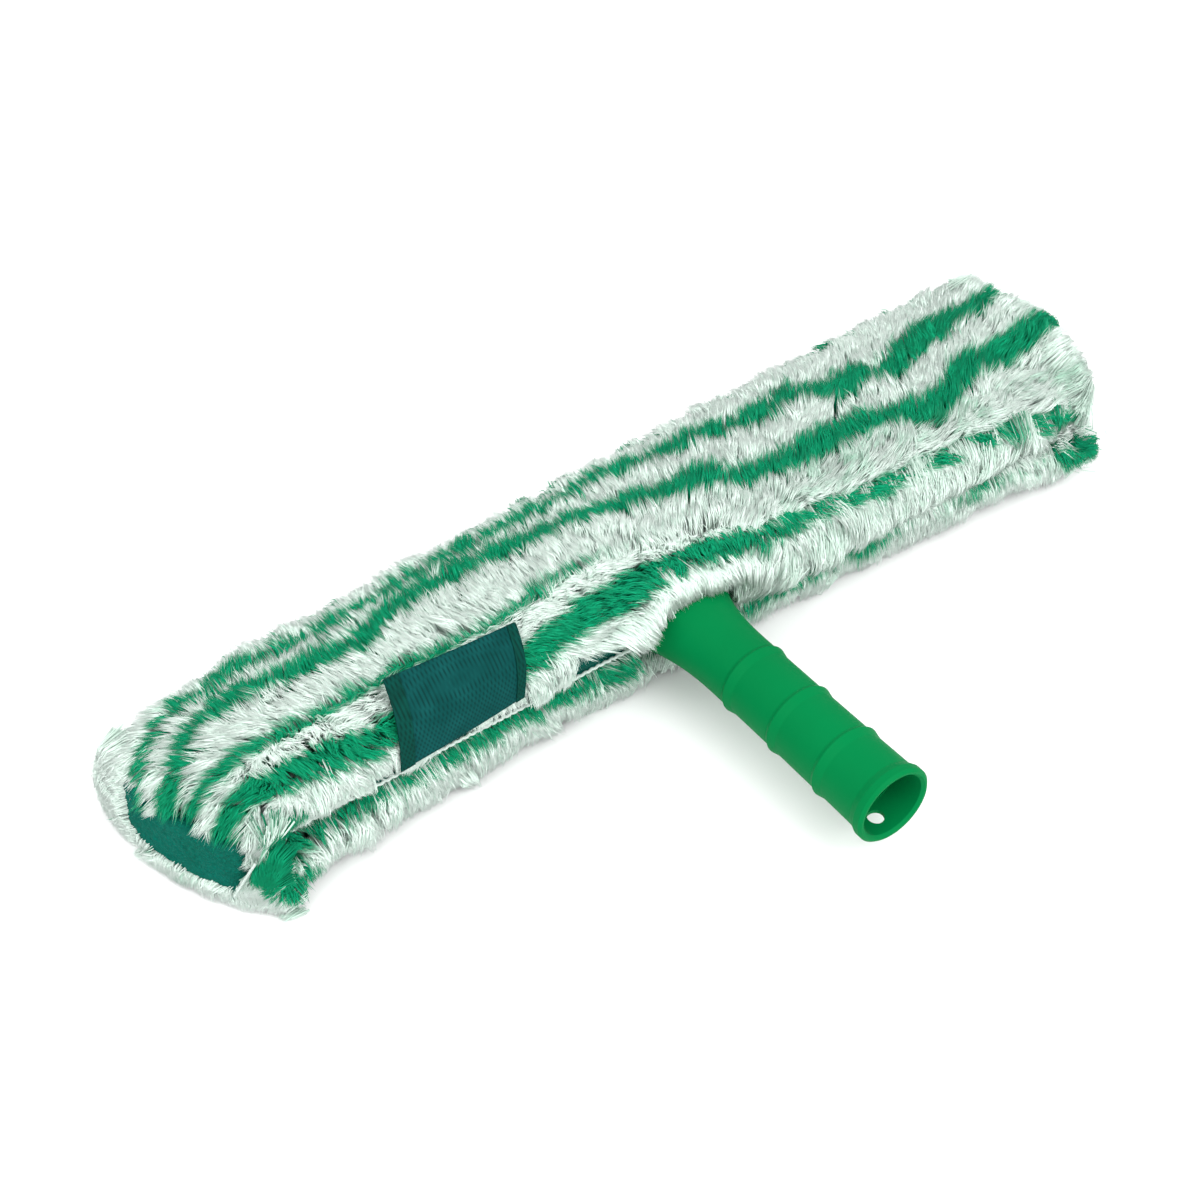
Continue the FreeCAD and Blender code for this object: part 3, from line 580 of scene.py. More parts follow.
def thread_material():
    material, tree, shader = new_material("pale_thread", 0.7)
    twist = add(tree, "ShaderNodeTexWave", None, Scale=320.0, Distortion=1.0).outputs["Fac"]
    # Painted shade: the colour darkens in the twist's grooves, where its height is low.
    surfaced(tree, shader, mixed(tree, twist, (0.42, 0.58, 0.50), (0.86, 0.92, 0.88)), twist, 0.5, 0.0003)
    return material


def floor_material():
    material, tree, shader = new_material("pale_floor", 0.9)
    cloud = add(tree, "ShaderNodeTexNoise", None, Scale=3.0, Detail=2.0)
    tree.links.new(mixed(tree, cloud.outputs["Fac"], (0.90, 0.90, 0.90), (0.93, 0.93, 0.93)),
                   shader.inputs["Base Color"])
    return material


HANDLE_GREEN = plastic("handle_green", (0.0, 0.152, 0.040), (0.0, 0.182, 0.050), 0.5)
BAR_GREEN = plastic("bar_green", (0.0, 0.14, 0.04), (0.005, 0.2, 0.06), 0.5)
SCREW_STEEL = metal("screw_zinc", (0.62, 0.62, 0.6), 0.35)
SNAP_NICKEL = metal("snap_nickel", (0.72, 0.72, 0.7), 0.28)
HEM_TAPE = woven("hem_tape_green", (0.0, 0.06, 0.045), (0.0, 0.1, 0.075))
LABEL_CLOTH = woven("label_teal", (0.0, 0.045, 0.042), (0.002, 0.065, 0.062), 4200.0, 0.4)
LABEL_BORDER = woven("label_border", (0.0, 0.035, 0.026), (0.0, 0.052, 0.04), 4200.0, 0.4)
PILE = pile_material()
GROUND = backing_material()
FLEECE = fleece_material()
THREAD = thread_material()


# Backing cloth

GRID_X = 120
GRID_TURN = 96


def skin_grid(inset):
    """Grid of points on the backing cloth, or under it by inset: rows along x, columns round the tube."""
    turn = np.linspace(-math.pi, math.pi, GRID_TURN + 1)
    y, z = oval(turn, SKIN_HALF_WIDTH - inset, SKIN_HALF_HEIGHT - inset)
    share = np.linspace(-1.0, 1.0, GRID_X + 1)[:, None]
    x = share * (end_reach(share, y) - SKIN_INSET)
    z = np.where(z > 0, z * dome_height(x, y), z)
    return np.stack((x, np.broadcast_to(y, x.shape), z), axis=-1)


def set_stripes(mesh, girths):
    points = np.empty(len(mesh.vertices) * 3)
    mesh.vertices.foreach_get("co", points)
    x = points.reshape(-1, 3)[:, 0] / MM - BAR_LINE[0]
    values = mesh.attributes.new("stripe", "FLOAT", "POINT")
    values.data.foreach_set("value", stripe_mask(x, girths(points.reshape(-1, 3) / MM - BAR_LINE)))


def backing_pieces():
    outer = skin_grid(0.0)
    inner = skin_grid(CLOTH)
    middle = (outer[:-1, :-1] + outer[1:, 1:]) / 2
    upper = middle[..., 2] > 0
    in_flap = (np.abs(middle[..., 0]) < FLAP_HALF) & (middle[..., 1] < FLAP_PLANE)
    at_handle = (np.abs(middle[..., 0]) < HANDLE_ROOM - 5) & (middle[..., 1] < 0)
    at_handle &= np.abs(middle[..., 2]) < HANDLE_HOLE_HALF
    for name, keep, nodes in (
            ("upper_ground", upper & ~in_flap & ~at_handle, ("upper_plush",)),
            ("lower_ground", ~upper & ~at_handle, ("lower_plush",))):
        mesh = thick_sheet(name, outer, inner, keep)
        set_stripes(mesh, girth_of_points)
        piece = new_piece(name, mesh, GROUND, "washer", nodes)


def end_cloth(name, side, node):
    """Domed cloth that closes an end of the tube."""
    rings = np.linspace(0.02, 1.0, 14)[:, None]
    turn = np.linspace(-math.pi, math.pi, GRID_TURN + 1)
    layers = []
    for inset in (0.0, CLOTH):
        y, z = oval(turn, SKIN_HALF_WIDTH - inset, SKIN_HALF_HEIGHT - inset)
        y = OVAL_CENTRE_Y + (y - OVAL_CENTRE_Y) * rings
        z = z * rings
        x = side * (end_reach(side, y) - SKIN_INSET - inset + CAP_DOME * (1 - rings ** 2))
        z = np.where(z > 0, z * dome_height(x, y), z)
        layers.append(np.stack((x, y, z), axis=-1))
    mesh = thick_sheet(name, layers[0], layers[1])
    set_stripes(mesh, lambda p: p[:, 1] + END_GIRTH)
    piece = new_piece(name, mesh, GROUND, "washer", (node,))


# Section of the flap's panel (y, z): its pile side from the fold line down, and its lining
FLAP_FACE = np.array(((-18.4, 15.1), (-20.8, 15.2), (-23.2, 13.8), (-24.8, 10.8), (-25.4, 7.4),
                      (-25.3, 4.2), (-24.4, 2.2)))
FLAP_LINING = np.array(((-18.2, 14.6), (-18.5, 14.2), (-18.8, 12.6), (-19.05, 10.0), (-19.05, 7.0),
                        (-19.05, 4.2), (-19.3, 2.0)))
FLAP_MARGIN = 0.6            # panel's ends short of the flap's
FLAP_ARCH_Z = 13.2           # underside of the panel over the handle


def swept(x, section):
    """Grid of points of a section (y, z) run along x."""
    grid = np.zeros((len(x), len(section), 3))
    grid[..., 0] = x[:, None]
    grid[..., 1:] = section
    return grid


def flap_panel():
    """Padded panel of the flap, arched over the handle's root."""
    x = np.linspace(-FLAP_HALF + FLAP_MARGIN, FLAP_HALF - FLAP_MARGIN, 121)
    middle_x = np.abs((x[:-1] + x[1:]) / 2)[:, None]
    middle_z = ((FLAP_FACE[:-1, 1] + FLAP_FACE[1:, 1]) / 2)[None, :]
    keep = (middle_x > HANDLE_ROOM) | (middle_z > FLAP_ARCH_Z)
    mesh = thick_sheet("flap_ground", swept(x, FLAP_FACE), swept(x, FLAP_LINING), keep)
    set_stripes(mesh, girth_of_points)
    piece = new_piece("flap_ground", mesh, GROUND, "flap", ("closure_flap",))


# Section of the tape turned up below the flap's pile, left of the handle (y, z)
TURNED_TAPE = np.array(((-25.2, 3.4), (-27.6, 2.4), (-30.2, 2.6), (-31.6, 4.4), (-31.9, 7.0),
                        (-31.0, 10.5)))
TURNED_TAPE_X = (-50.0, -20.0)
TURNED_TAPE_THICKNESS = np.array((0.0, 0.7, 0.5))


def turned_tape():
    """Woven tape that shows where the pile parts beside the handle."""
    x = np.linspace(*TURNED_TAPE_X, 40)
    outer = swept(x, TURNED_TAPE)
    outer[..., 1] += 0.3 * np.sin(0.5 * x)[:, None]
    mesh = thick_sheet("turned_tape", outer + TURNED_TAPE_THICKNESS, outer)
    piece = new_piece("turned_tape", mesh, HEM_TAPE, "flap", ("left_flap_facing",))


# Both sides of the flap's facing (y, z), down its inner face and turned under the panel's lower edge
FACING_X = (27.2, 59.4)
FACING_BARE = np.array(((-18.1, 14.2), (-18.1, 10.0), (-18.1, 6.0), (-18.1, 3.0), (-18.4, 1.7),
                        (-20.0, 1.5), (-22.5, 1.5), (-24.6, 1.6), (-25.7, 2.6), (-26.1, 4.6)))
FACING_SEWN = np.array(((-18.95, 14.2), (-18.95, 10.0), (-18.95, 6.0), (-18.95, 3.0), (-19.2, 2.2),
                        (-20.0, 2.1), (-22.5, 2.1), (-24.2, 2.2), (-24.9, 3.0), (-25.3, 4.6)))
FACING_STEPS = 4
FACING_TURN_Y = -20.0        # the turned-under part lies in front of this
SNAP_X = 45.0
SNAP_Z = 7.6
SNAP_WELL = 5.2


def flap_facing(name, side, node):
    """Woven facing inside the flap, turned under its lower edge and open round the press stud's socket."""
    x = np.sort(side * np.linspace(*FACING_X, 57))
    corners = np.arange(len(FACING_BARE))
    place = np.linspace(0.0, corners[-1], FACING_STEPS * corners[-1] + 1)
    sewn, bare = (
        swept(x, np.stack([np.interp(place, corners, section[:, k])[::-1] for k in (0, 1)], axis=-1))
        for section in (FACING_SEWN, FACING_BARE))
    middle = (bare[:-1, :-1] + bare[1:, 1:]) / 2
    off = np.hypot(middle[..., 0] - side * SNAP_X, middle[..., 2] - SNAP_Z)
    mesh = thick_sheet(name, sewn, bare, (off > SNAP_WELL) | (middle[..., 1] < FACING_TURN_Y))
    piece = new_piece(name, mesh, HEM_TAPE, "flap", (node,))


BINDING_REACH = (20.0, 30.0)      # bar line to the band's back and front edge
BINDING_OFF = (0.9, 2.1)          # handle's root to the band's two faces
ROOT_HALF_WIDTH = HANDLE_ROOT_HALF[:2]
ROOT_HALF_HEIGHT = (11.0, 11.6)   # of the handle's root, at the back and front of the band
BINDING_FOOT = 0.16               # turn about the handle's axis where the band starts


def flap_binding():
    """Woven band along the edge of the flap's arch, round the top of the handle's root."""
    ends = (BINDING_FOOT, math.pi - BINDING_FOOT)
    turn, place = np.meshgrid(np.linspace(*ends, 61), np.linspace(0.0, 1.0, 9), indexing="ij")

    def between(pair):
        return pair[0] + (pair[1] - pair[0]) * place

    layers = []
    for off in BINDING_OFF[::-1]:
        half_x = between(ROOT_HALF_WIDTH) + off
        half_z = between(ROOT_HALF_HEIGHT) + off
        ring = (half_x * np.cos(turn), -between(BINDING_REACH), half_z * np.sin(turn))
        layers.append(np.stack(ring, axis=-1))
    mesh = thick_sheet("arch_binding", layers[0], layers[1])
    piece = new_piece("arch_binding", mesh, HEM_TAPE, "flap", ("flap_binding",))


# Pile

# How far a strand's tip lies off its root, over the sleeve (lean) and along it (drift)
BACK_LEAN = 5.5
FRONT_LEAN = -5.0
LOWER_LEAN = -4.5
UNDER_BACK_LEAN = 4.0
RIGHT_DRIFT = 2.4
RIGHT_END_DRIFT = 2.0        # more of it towards the right end
BRUSHED_DRIFT = 5.5          # front stripe left of the handle
FLAT_DRIFT = 4.0             # band about the crease on the right
END_DRIFT = 6.5
LOWER_END_DRIFT = 3.0
HANDLE_DRIFT = 6.0
WANDER = 1.2

# Places on the pile: x, and distance over it from the front groove
END_FROM = 145.0             # where the pile starts to fan out at the ends
END_FULL = 176.0
SWIRL_X = -22.0
SWIRL_GIRTH = 51.0
UNDER_BACK = -88.0
CORNER_TUFT_X = -168.0
CORNER_TUFT_GIRTH = -16.0
HANDLE_SIDE = 29.0
RIGHT_FAN_GIRTH = 46.0


def hump(value, centre, width):
    return np.exp(-((value - centre) / width) ** 2)


def combing(x, s):
    """Which way the pile lies: lean, drift, depth, lift of the surface, droop of the tips and the painted
    shade of the crease band.
    """
    right = smooth(-5.0, 45.0, x)
    left = smooth(10.0, -30.0, x)
    part = np.interp(x, *np.array(PARTING, float).T)
    upper = s > 0
    at_end = smooth(END_FROM, END_FULL, np.abs(x))
    back_fall = smooth(part - 3.0, part + 6.0, s)
    lean = np.where(upper, BACK_LEAN * back_fall + FRONT_LEAN * (1 - back_fall), LOWER_LEAN)
    lean = np.where(s < UNDER_BACK, UNDER_BACK_LEAN, lean)
    to_right = RIGHT_DRIFT + RIGHT_END_DRIFT * smooth(100.0, 150.0, x)
    drift = right * back_fall * to_right * smooth(100.0, 80.0, s)
    # Swirl above the thin stripe left of the handle, and the front stripe brushed along the sleeve
    swirl = 0.12 * np.clip(x - SWIRL_X, -45.0, 30.0)
    drift += swirl * hump(s, SWIRL_GIRTH, 9.0) * smooth(45.0, 10.0, x)
    brushed = left * smooth(11.0, 18.0, s) * smooth(part + 5.0, part + 1.0, s)
    brushed *= smooth(-150.0, -95.0, x)
    drift += BRUSHED_DRIFT * brushed
    lean = lean * (1.0 - 0.75 * brushed) - 0.8 * brushed
    by_handle = smooth(34.0, 26.0, np.abs(x))
    depth = PILE_DEPTH - 4.5 * hump(s, 0.0, 5.0)
    depth -= 4.4 * by_handle * smooth(34.0, 27.0, s) * smooth(12.0, 20.0, s)
    # On the right the upper lobe hangs over the groove; on the left the hem shows in it
    lift = 5.0 * right * (1 - at_end) * hump(s, 2.0, 5.0) - 2.4 * left * hump(s, 0.0, 3.5)
    hem_side = left * smooth(13.0, 7.0, s) * upper
    lean *= 1.0 - 0.6 * hem_side
    # A pressed-flat band about the crease on the right
    crease = smooth(CREASE_FROM, CREASE_FULL, x)
    lift -= 3.0 * crease * hump(s, part, 2.4)
    lift += left * (1 - at_end) * (1.0 * hump(s, 35.0, 4.0) - 1.2 * hump(s, 42.0, 2.5))
    flat = crease * smooth(part - 9.0, part - 6.0, s) * smooth(part + 12.0, part + 7.0, s)
    lift += 0.8 * crease * hump(s, part - 3.5, 2.0)
    lean *= 1.0 - 0.85 * flat
    drift += FLAT_DRIFT * flat
    # This rough band also sets how much painted shade darkens the strands there.
    rough = crease * smooth(part + 2.0, part + 6.0, s) * smooth(part + 19.0, part + 14.0, s)
    lean *= 1.0 - 0.5 * rough
    lift += 1.0 * right * smooth(45.0, 65.0, s)
    lift += 5.0 * smooth(150.0, 172.0, x) * hump(s, RIGHT_FAN_GIRTH, 15.0)
    lift += 0.7 * ripple(x, s, 1.0)
    # Fanned out at the ends, closing in on the handle's root
    drift += (np.sign(x) * np.where(upper, END_DRIFT, LOWER_END_DRIFT) - drift) * at_end
    lean *= 1.0 - at_end * (0.85 - 0.5 * smooth(50.0, 70.0, s))
    inward = HANDLE_DRIFT * hump(np.abs(x), HANDLE_SIDE, 8.0) * smooth(24.0, 14.0, np.abs(s))
    drift -= np.sign(x) * inward
    # A tuft hanging at the front left corner
    lift += 4.0 * hump(x, CORNER_TUFT_X, 16.0) * hump(s, CORNER_TUFT_GIRTH, 9.0)
    drift += WANDER * ripple(x, s, 2.0)
    lean += WANDER * ripple(x, s, 3.0)
    droop = np.where(upper, (1.5 + 3.0 * right * smooth(16.0, 6.0, s)) * (1 - back_fall), 2.0)
    droop *= (1.0 - 0.7 * hem_side) * (1.0 - np.where(x < 0, 0.8, 0.0) * at_end)
    return {"lean": lean, "drift": drift, "depth": depth, "lift": lift, "droop": droop, "grey": rough}


def strands_at(x, s):
    """Comb for strands whose tips lie at x (run on round the ends) and s over the pile."""
    step = 0.2
    over = unit(pile_point(x, s + step) - pile_point(x, s - step))
    along = unit(pile_point(x + step, s) - pile_point(x - step, s))
    normal = unit(np.cross(along, over))
    comb = combing(x, s)
    comb["tip"] = pile_point(x, s) + normal * comb.pop("lift")[:, None]
    comb.update(normal=normal, over=over, along=along, x=x, s=s)
    return comb


def body_pile():
    """Comb of the tube and its rounded ends."""
    run = END_REACH + END_ROUND + END_DROP
    s = random.uniform(PILE_GIRTH[0], PILE_GIRTH[-1], BODY_STRANDS)
    x = random.uniform(-run, run, BODY_STRANDS)
    comb = strands_at(x, s)
    # Half as dense on the underside and the back
    hidden = ((s < -40.0) | (s > BACK_GIRTH)) & (random.uniform(size=len(x)) < 0.5)
    y = comb["tip"][:, 1]
    rim = end_reach(np.sign(x), y)
    over_pad = DOME_START + DOME_RUN - 1.0 + 7.0 * smooth(-12.0, 14.0, y)
    turned = np.where((x < 0) | (s < 0), 1.0, END_ROUND)
    past = np.where((x < 0) & (s > 0), -x > over_pad, np.abs(x) > rim + turned)
    bare_tape = (np.abs(x - BARE_TAPE_X) < BARE_TAPE_HALF) & (np.abs(s - 5.0) < 8.0)
    keep = ~(hidden | past | bare_tape)
    return {key: values[keep] for key, values in comb.items()}


def standing(tip, normal, over, x, s, **values):
    """Comb of strands given one by one; directions and values may be shared."""
    normal, over = (unit(np.broadcast_to(np.array(v, float), tip.shape)) for v in (normal, over))
    values.update(x=x, s=s, grey=0.0)
    comb = {key: np.broadcast_to(np.array(value, float), len(tip)).copy() for key, value in values.items()}
    comb.update(tip=tip, normal=normal, over=over, along=unit(np.cross(over, normal)))
    return comb


# The ends' faces take their stripes from places past the tube's own run
PAD_STRIPE_X = -230.0
FACE_STRIPE_X = 400.0
WHITE_GIRTH = 36.0
GREEN_GIRTH = 28.0


def pad_surround():
    """Comb of the short pile behind, before and below the scouring pad."""
    y = random.uniform(-42.0, 37.0, PAD_SURROUND_STRANDS)
    z = random.uniform(FLOOR + 1.0, 4.0, PAD_SURROUND_STRANDS)
    below = z < PAD_Z[0] + 4.0
    beside = (y > PAD_Y[1] - 1.0) | (y < PAD_Y[0] - 1.5 - 0.33 * (z + 18.0))
    y, z = y[below | beside], z[below | beside]
    tip = np.stack((-end_reach(-1, y) + 0.5, y, z), axis=-1)
    tip[:, 0] += 3.0 * smooth(-6.0, 4.0, z)
    lean = np.where(z < PAD_Z[0] + 4.0, -1.5, np.where(y > 0, 3.0, -4.0))
    girth = np.where((y < -32.0) & (z > -10.0), GREEN_GIRTH, 21.0 + 0.45 * y + z)
    girth = np.where(y > 10.0, WHITE_GIRTH, girth)
    return standing(tip, (-1.0, 0.0, -0.15), (0.0, 1.0, 0.0), PAD_STRIPE_X + 0.3 * z, girth,
                    depth=6.0, lean=lean, drift=2.0 * ripple(y, z, 4.0), droop=1.5)


def face_pile():
    """Comb of the right end's face: strands stand out and fall."""
    ring = np.sqrt(random.uniform(0.0, 1.0, RIGHT_FACE_STRANDS))
    turn = random.uniform(-math.pi, math.pi, RIGHT_FACE_STRANDS)
    y, z = oval(turn, FACE_HALF_WIDTH, FACE_HALF_HEIGHT)
    y = OVAL_CENTRE_Y + (y - OVAL_CENTRE_Y) * ring
    z = z * ring
    tip = np.stack((end_reach(1, y), y, z), axis=-1)
    return standing(tip, (1.0, 0.0, 0.0), (0.0, 1.0, 0.0), FACE_STRIPE_X + z, y + END_GIRTH,
                    depth=PILE_DEPTH, lean=2.0 * ripple(y, z, 5.0), drift=6.0, droop=2.0)


def fringe_pile():
    """Comb of the fringe that hangs from the flap's arch over the handle's root, longest on its left."""
    x = random.uniform(-HANDLE_ROOM - 5.0, HANDLE_ROOM + 4.0, FRINGE_STRANDS)
    place = random.uniform(0.0, 1.0, FRINGE_STRANDS)
    aside = smooth(HANDLE_ROOM - 13.0, HANDLE_ROOM, np.abs(x))
    on_left = smooth(-8.0, -20.0, x)
    drop = random.uniform(0.0, 1.0, FRINGE_STRANDS) * aside
    below_arch = 0.6 * place + 3.0 * aside + (5.0 - 3.0 * on_left) * drop
    root = np.stack((x, -22.5 - 2.0 * place - 2.0 * aside, FLAP_ARCH_Z + 1.4 - below_arch), axis=-1)
    ahead = np.array((0.0, -0.90, 0.43))
    along = np.array((1.0, 0.0, 0.0))
    over = np.cross(ahead, along)
    depth = 10.5 + 2.0 * aside + 3.0 * on_left + 1.4 * ripple(4.0 * x, 3.0 * place, 9.0)
    lean = -4.0 + ripple(x, 3.0 * place, 7.0)
    drift = 1.5 * ripple(x, 9.0 * place, 8.0) - 5.0 * np.sign(x) * aside
    tip = root + ahead * depth[:, None] + over * lean[:, None] + drift[:, None] * along
    return standing(tip, ahead, over, x, 17.0 - 5.0 * place,
                    depth=depth, lean=lean, drift=drift, droop=2.5 + 2.0 * place)


# Corners of the label, from its lower left round by the lower right
LABEL_CORNERS = np.array(((-113.0, -33.5, 5.0), (-67.0, -32.0, 7.0), (-61.0, -22.0, 27.4),
                          (-107.4, -20.0, 29.5)))
LABEL_ACROSS = LABEL_CORNERS[1] - LABEL_CORNERS[0]
LABEL_RISE = LABEL_CORNERS[3] - LABEL_CORNERS[0]
LABEL_FACING = unit(np.cross(LABEL_ACROSS, LABEL_RISE))
LABEL_THICKNESS = 0.5
LABEL_BORDER_SHARE = 0.1
BEHIND_LABEL = 0.6           # label to the pile pressed back behind it


def label_point(u, v, lift):
    """Point of the label at u across and v up, lifted off its face."""
    low = LABEL_CORNERS[0] + LABEL_ACROSS * u[..., None]
    high = LABEL_CORNERS[3] + (LABEL_CORNERS[2] - LABEL_CORNERS[3]) * u[..., None]
    flat = low + (high - low) * v[..., None]
    bow = 2.2 * np.sin(math.pi * np.clip(v, 0, 1)) + 0.8 * np.sin(math.pi * np.clip(u, 0, 1)) - 3.0 * v ** 3
    return flat + LABEL_FACING * (bow + lift)[..., None]


def behind_label(paths):
    """Presses the pile back behind the sewn label."""
    off = paths - LABEL_CORNERS[0]
    along_across, along_rise = off @ LABEL_ACROSS, off @ LABEL_RISE
    wide, high, skew = LABEL_ACROSS @ LABEL_ACROSS, LABEL_RISE @ LABEL_RISE, LABEL_ACROSS @ LABEL_RISE
    area = wide * high - skew ** 2
    u = (along_across * high - along_rise * skew) / area
    v = (along_rise * wide - along_across * skew) / area
    near = (u > -0.05) & (u < 1.05) & (v > -0.12) & (v < 1.06)
    face = label_point(np.clip(u, 0, 1), np.clip(v, 0, 1), np.full_like(u, -BEHIND_LABEL))
    push = np.where(near, np.maximum((paths - face) @ LABEL_FACING, 0.0), 0.0)
    return paths - push[..., None] * LABEL_FACING


def joined(*combs):
    return {key: np.concatenate([c[key] for c in combs]) for key in combs[0]}


def cells(x, s, spacing):
    """Numbers the cell of a wandering grid over the pile that each strand belongs to."""
    u = x / spacing
    v = 0.8 * s / spacing
    u = u + 0.35 * np.sin(2.1 * v + 0.6 * np.floor(u)) + 0.25 * np.sin(0.7 * u)
    v = v + 0.35 * np.sin(1.9 * u + 1.3)
    cell = np.floor(u).astype(int) * 4096 + np.floor(v).astype(int)
    return np.unique(cell, return_inverse=True)[1].ravel()


def mean_in(group, values):
    """Mean of the values within each group, handed back to its members."""
    size = np.bincount(group)
    return np.stack([np.bincount(group, values[:, k]) / size for k in range(3)], axis=-1)[group]


def strand_paths(comb):
    """Each strand's centre line from root to tip, with its stripe and painted shade."""
    lock = cells(comb["x"], comb["s"], LOCK_SPACING)
    tuft = cells(comb["x"] + 0.3 * comb["s"], comb["s"], TUFT_SPACING)
    number = len(lock)

    def scatter(by_tuft, by_lock, by_strand):
        of_tuft = random.normal(0.0, by_tuft, tuft.max() + 1)[tuft]
        of_lock = random.normal(0.0, by_lock, lock.max() + 1)[lock]
        return of_tuft + of_lock + random.normal(0.0, by_strand, number)

    lean = comb["lean"] + scatter(*LEAN_SCATTER)
    drift = comb["drift"] + scatter(*DRIFT_SCATTER)
    rise = comb["normal"] * (comb["depth"] * random.uniform(0.92, 1.08, number))[:, None]
    sweep = comb["over"] * lean[:, None] + comb["along"] * drift[:, None]
    tip = comb["tip"] + comb["normal"] * scatter(*TIP_SCATTER)[:, None]
    root = tip - rise - sweep
    longer = 1.0 + scatter(*LENGTH_SCATTER)
    longer += np.where(random.uniform(size=number) < LONG_STRANDS, LONG_EXTRA, 0.0)
    shape_up = np.sin(STRAND_STATIONS * math.pi / 2)
    shape_over = STRAND_STATIONS ** 1.5
    paths = (root[:, None] + (rise * longer[:, None])[:, None] * shape_up[None, :, None]
             + (sweep * longer[:, None])[:, None] * shape_over[None, :, None])
    paths[..., 2] -= comb["droop"][:, None] * STRAND_STATIONS[None, :] ** 2
    for group, share in ((lock, LOCK_PULL), (tuft, TUFT_PULL)):
        pull = share * random.uniform(0.4, 1.3, number)[:, None] * STRAND_STATIONS[None, :] ** 1.5
        paths += pull[..., None] * (mean_in(group, paths[:, -1]) - paths[:, -1])[:, None]
    paths[..., 2] = np.maximum(paths[..., 2], FLOOR + 0.3 + random.uniform(0.0, 0.8, number)[:, None])
    # A strand shows over its outer half, so its stripe is taken from there
    outer = 0.3 - 0.25 * smooth(70.0, 80.0, comb["s"])
    stripe = stripe_mask(comb["x"] - outer * drift + scatter(0.8, 0.5, 0.0),
                         comb["s"] - outer * lean + scatter(0.5, 0.4, 0.25))
    # Painted shade: random from lock to lock, standing for the shadow between locks, and deeper over the
    # crease band, where the mint tint also rises.
    painted_shade = random.uniform(0.85, 1.0, lock.max() + 1)[lock] * random.uniform(0.88, 1.08, number)
    painted_shade = np.clip(painted_shade - comb["grey"] * (0.45 + scatter(0.12, 0.1, 0.1)), 0.0, 1.0)
    tint = random.normal(-0.02, 0.12, number) + comb["grey"] * (0.14 + scatter(0.18, 0.18, 0.0))
    tint = np.clip(tint, 0.0, 0.7)
    return paths, {"stripe": stripe, "painted_shade": painted_shade, "tint": tint}


def strand_mesh(name, paths, looks):
    """One closed tapered three-sided strand for each path; looks gives its stripe, painted shade and tint.
    """
    number = len(paths)
    rings = len(STRAND_TAPER)
    tip = 3 * rings
    tangent = unit(paths[:, -1] - paths[:, 0])
    side = unit(np.cross(tangent, random.normal(size=(number, 3))))
    up = np.cross(side, tangent)
    width = STRAND_WIDTH * random.uniform(0.8, 1.2, number)
    points = np.empty((number, tip + 1, 3))
    for ring in range(rings):
        for corner in range(3):
            angle = 2.0 * math.pi * corner / 3.0
            reach = (0.58 * width * STRAND_TAPER[ring])[:, None]
            spoke = math.cos(angle) * side + math.sin(angle) * up
            points[:, 3 * ring + corner] = paths[:, ring] + reach * spoke
    points[:, tip] = paths[:, -1]
    faces = [(2, 1, 0)]
    for corner in range(3):
        following = (corner + 1) % 3
        for low in range(0, tip - 3, 3):
            faces.append((low + corner, low + following, low + 3 + following, low + 3 + corner))
        faces.append((tip - 3 + corner, tip - 3 + following, tip))
    loops = np.concatenate(faces)
    starts = np.cumsum([0] + [len(f) for f in faces[:-1]])
    strand = np.arange(number)[:, None]
    mesh = bpy.data.meshes.new(name)
    mesh.vertices.add(points.shape[0] * points.shape[1])
    mesh.vertices.foreach_set("co", to_row(points).reshape(-1))
    for rows, key, one, stride in ((mesh.loops, "vertex_index", loops, tip + 1),
                                   (mesh.polygons, "loop_start", starts, len(loops))):
        rows.add(number * len(one))
        rows.foreach_set(key, (one[None] + stride * strand).reshape(-1).astype(np.int32))
    mesh.polygons.foreach_set("use_smooth", np.ones(number * len(starts), bool))
    along = np.concatenate((np.repeat(STRAND_STATIONS[:rings], 3), [1.0]))
    values = {key: np.repeat(one, tip + 1) for key, one in looks.items()}
    values["along"] = np.tile(along, number)
    for key, each in values.items():
        mesh.attributes.new(key, "FLOAT", "POINT").data.foreach_set("value", each.astype(np.float32))
    # Each strand has its own cell of the bake map, with the root at the bottom of the cell
    columns = math.ceil(math.sqrt(number))
    cell = np.stack((np.arange(number) % columns, np.arange(number) // columns), axis=-1)[:, None]
    corner_u = np.concatenate((np.tile((0.2, 0.5, 0.8), rings), [0.5]))
    corner_v = 0.15 + 0.7 * along
    uv = (cell + np.stack((corner_u, corner_v), axis=-1)[loops][None]) / columns
    layer = mesh.uv_layers.new(name="OFBake")
    layer.data.foreach_set("uv", uv.reshape(-1).astype(np.float32))
    mesh.update(calc_edges=True)
    return mesh


def pile_regions(root):
    """0 for the upper lobe, 1 for the flap and 2 for the lower lobe; -1 where the handle passes through."""
    x, y, z = root.T
    region = np.where(z > 0, 0, 2)
    region[(np.abs(x) < FLAP_HALF) & (y < FLAP_PLANE) & (z > 0)] = 1
    root_half = np.interp(-y, HANDLE_ROOT_REACH, HANDLE_ROOT_HALF) + 1.0
    region[(np.abs(x) < root_half) & (y < -10.0) & (z < FLAP_ARCH_Z) & (z > -12.0)] = -1
    return region


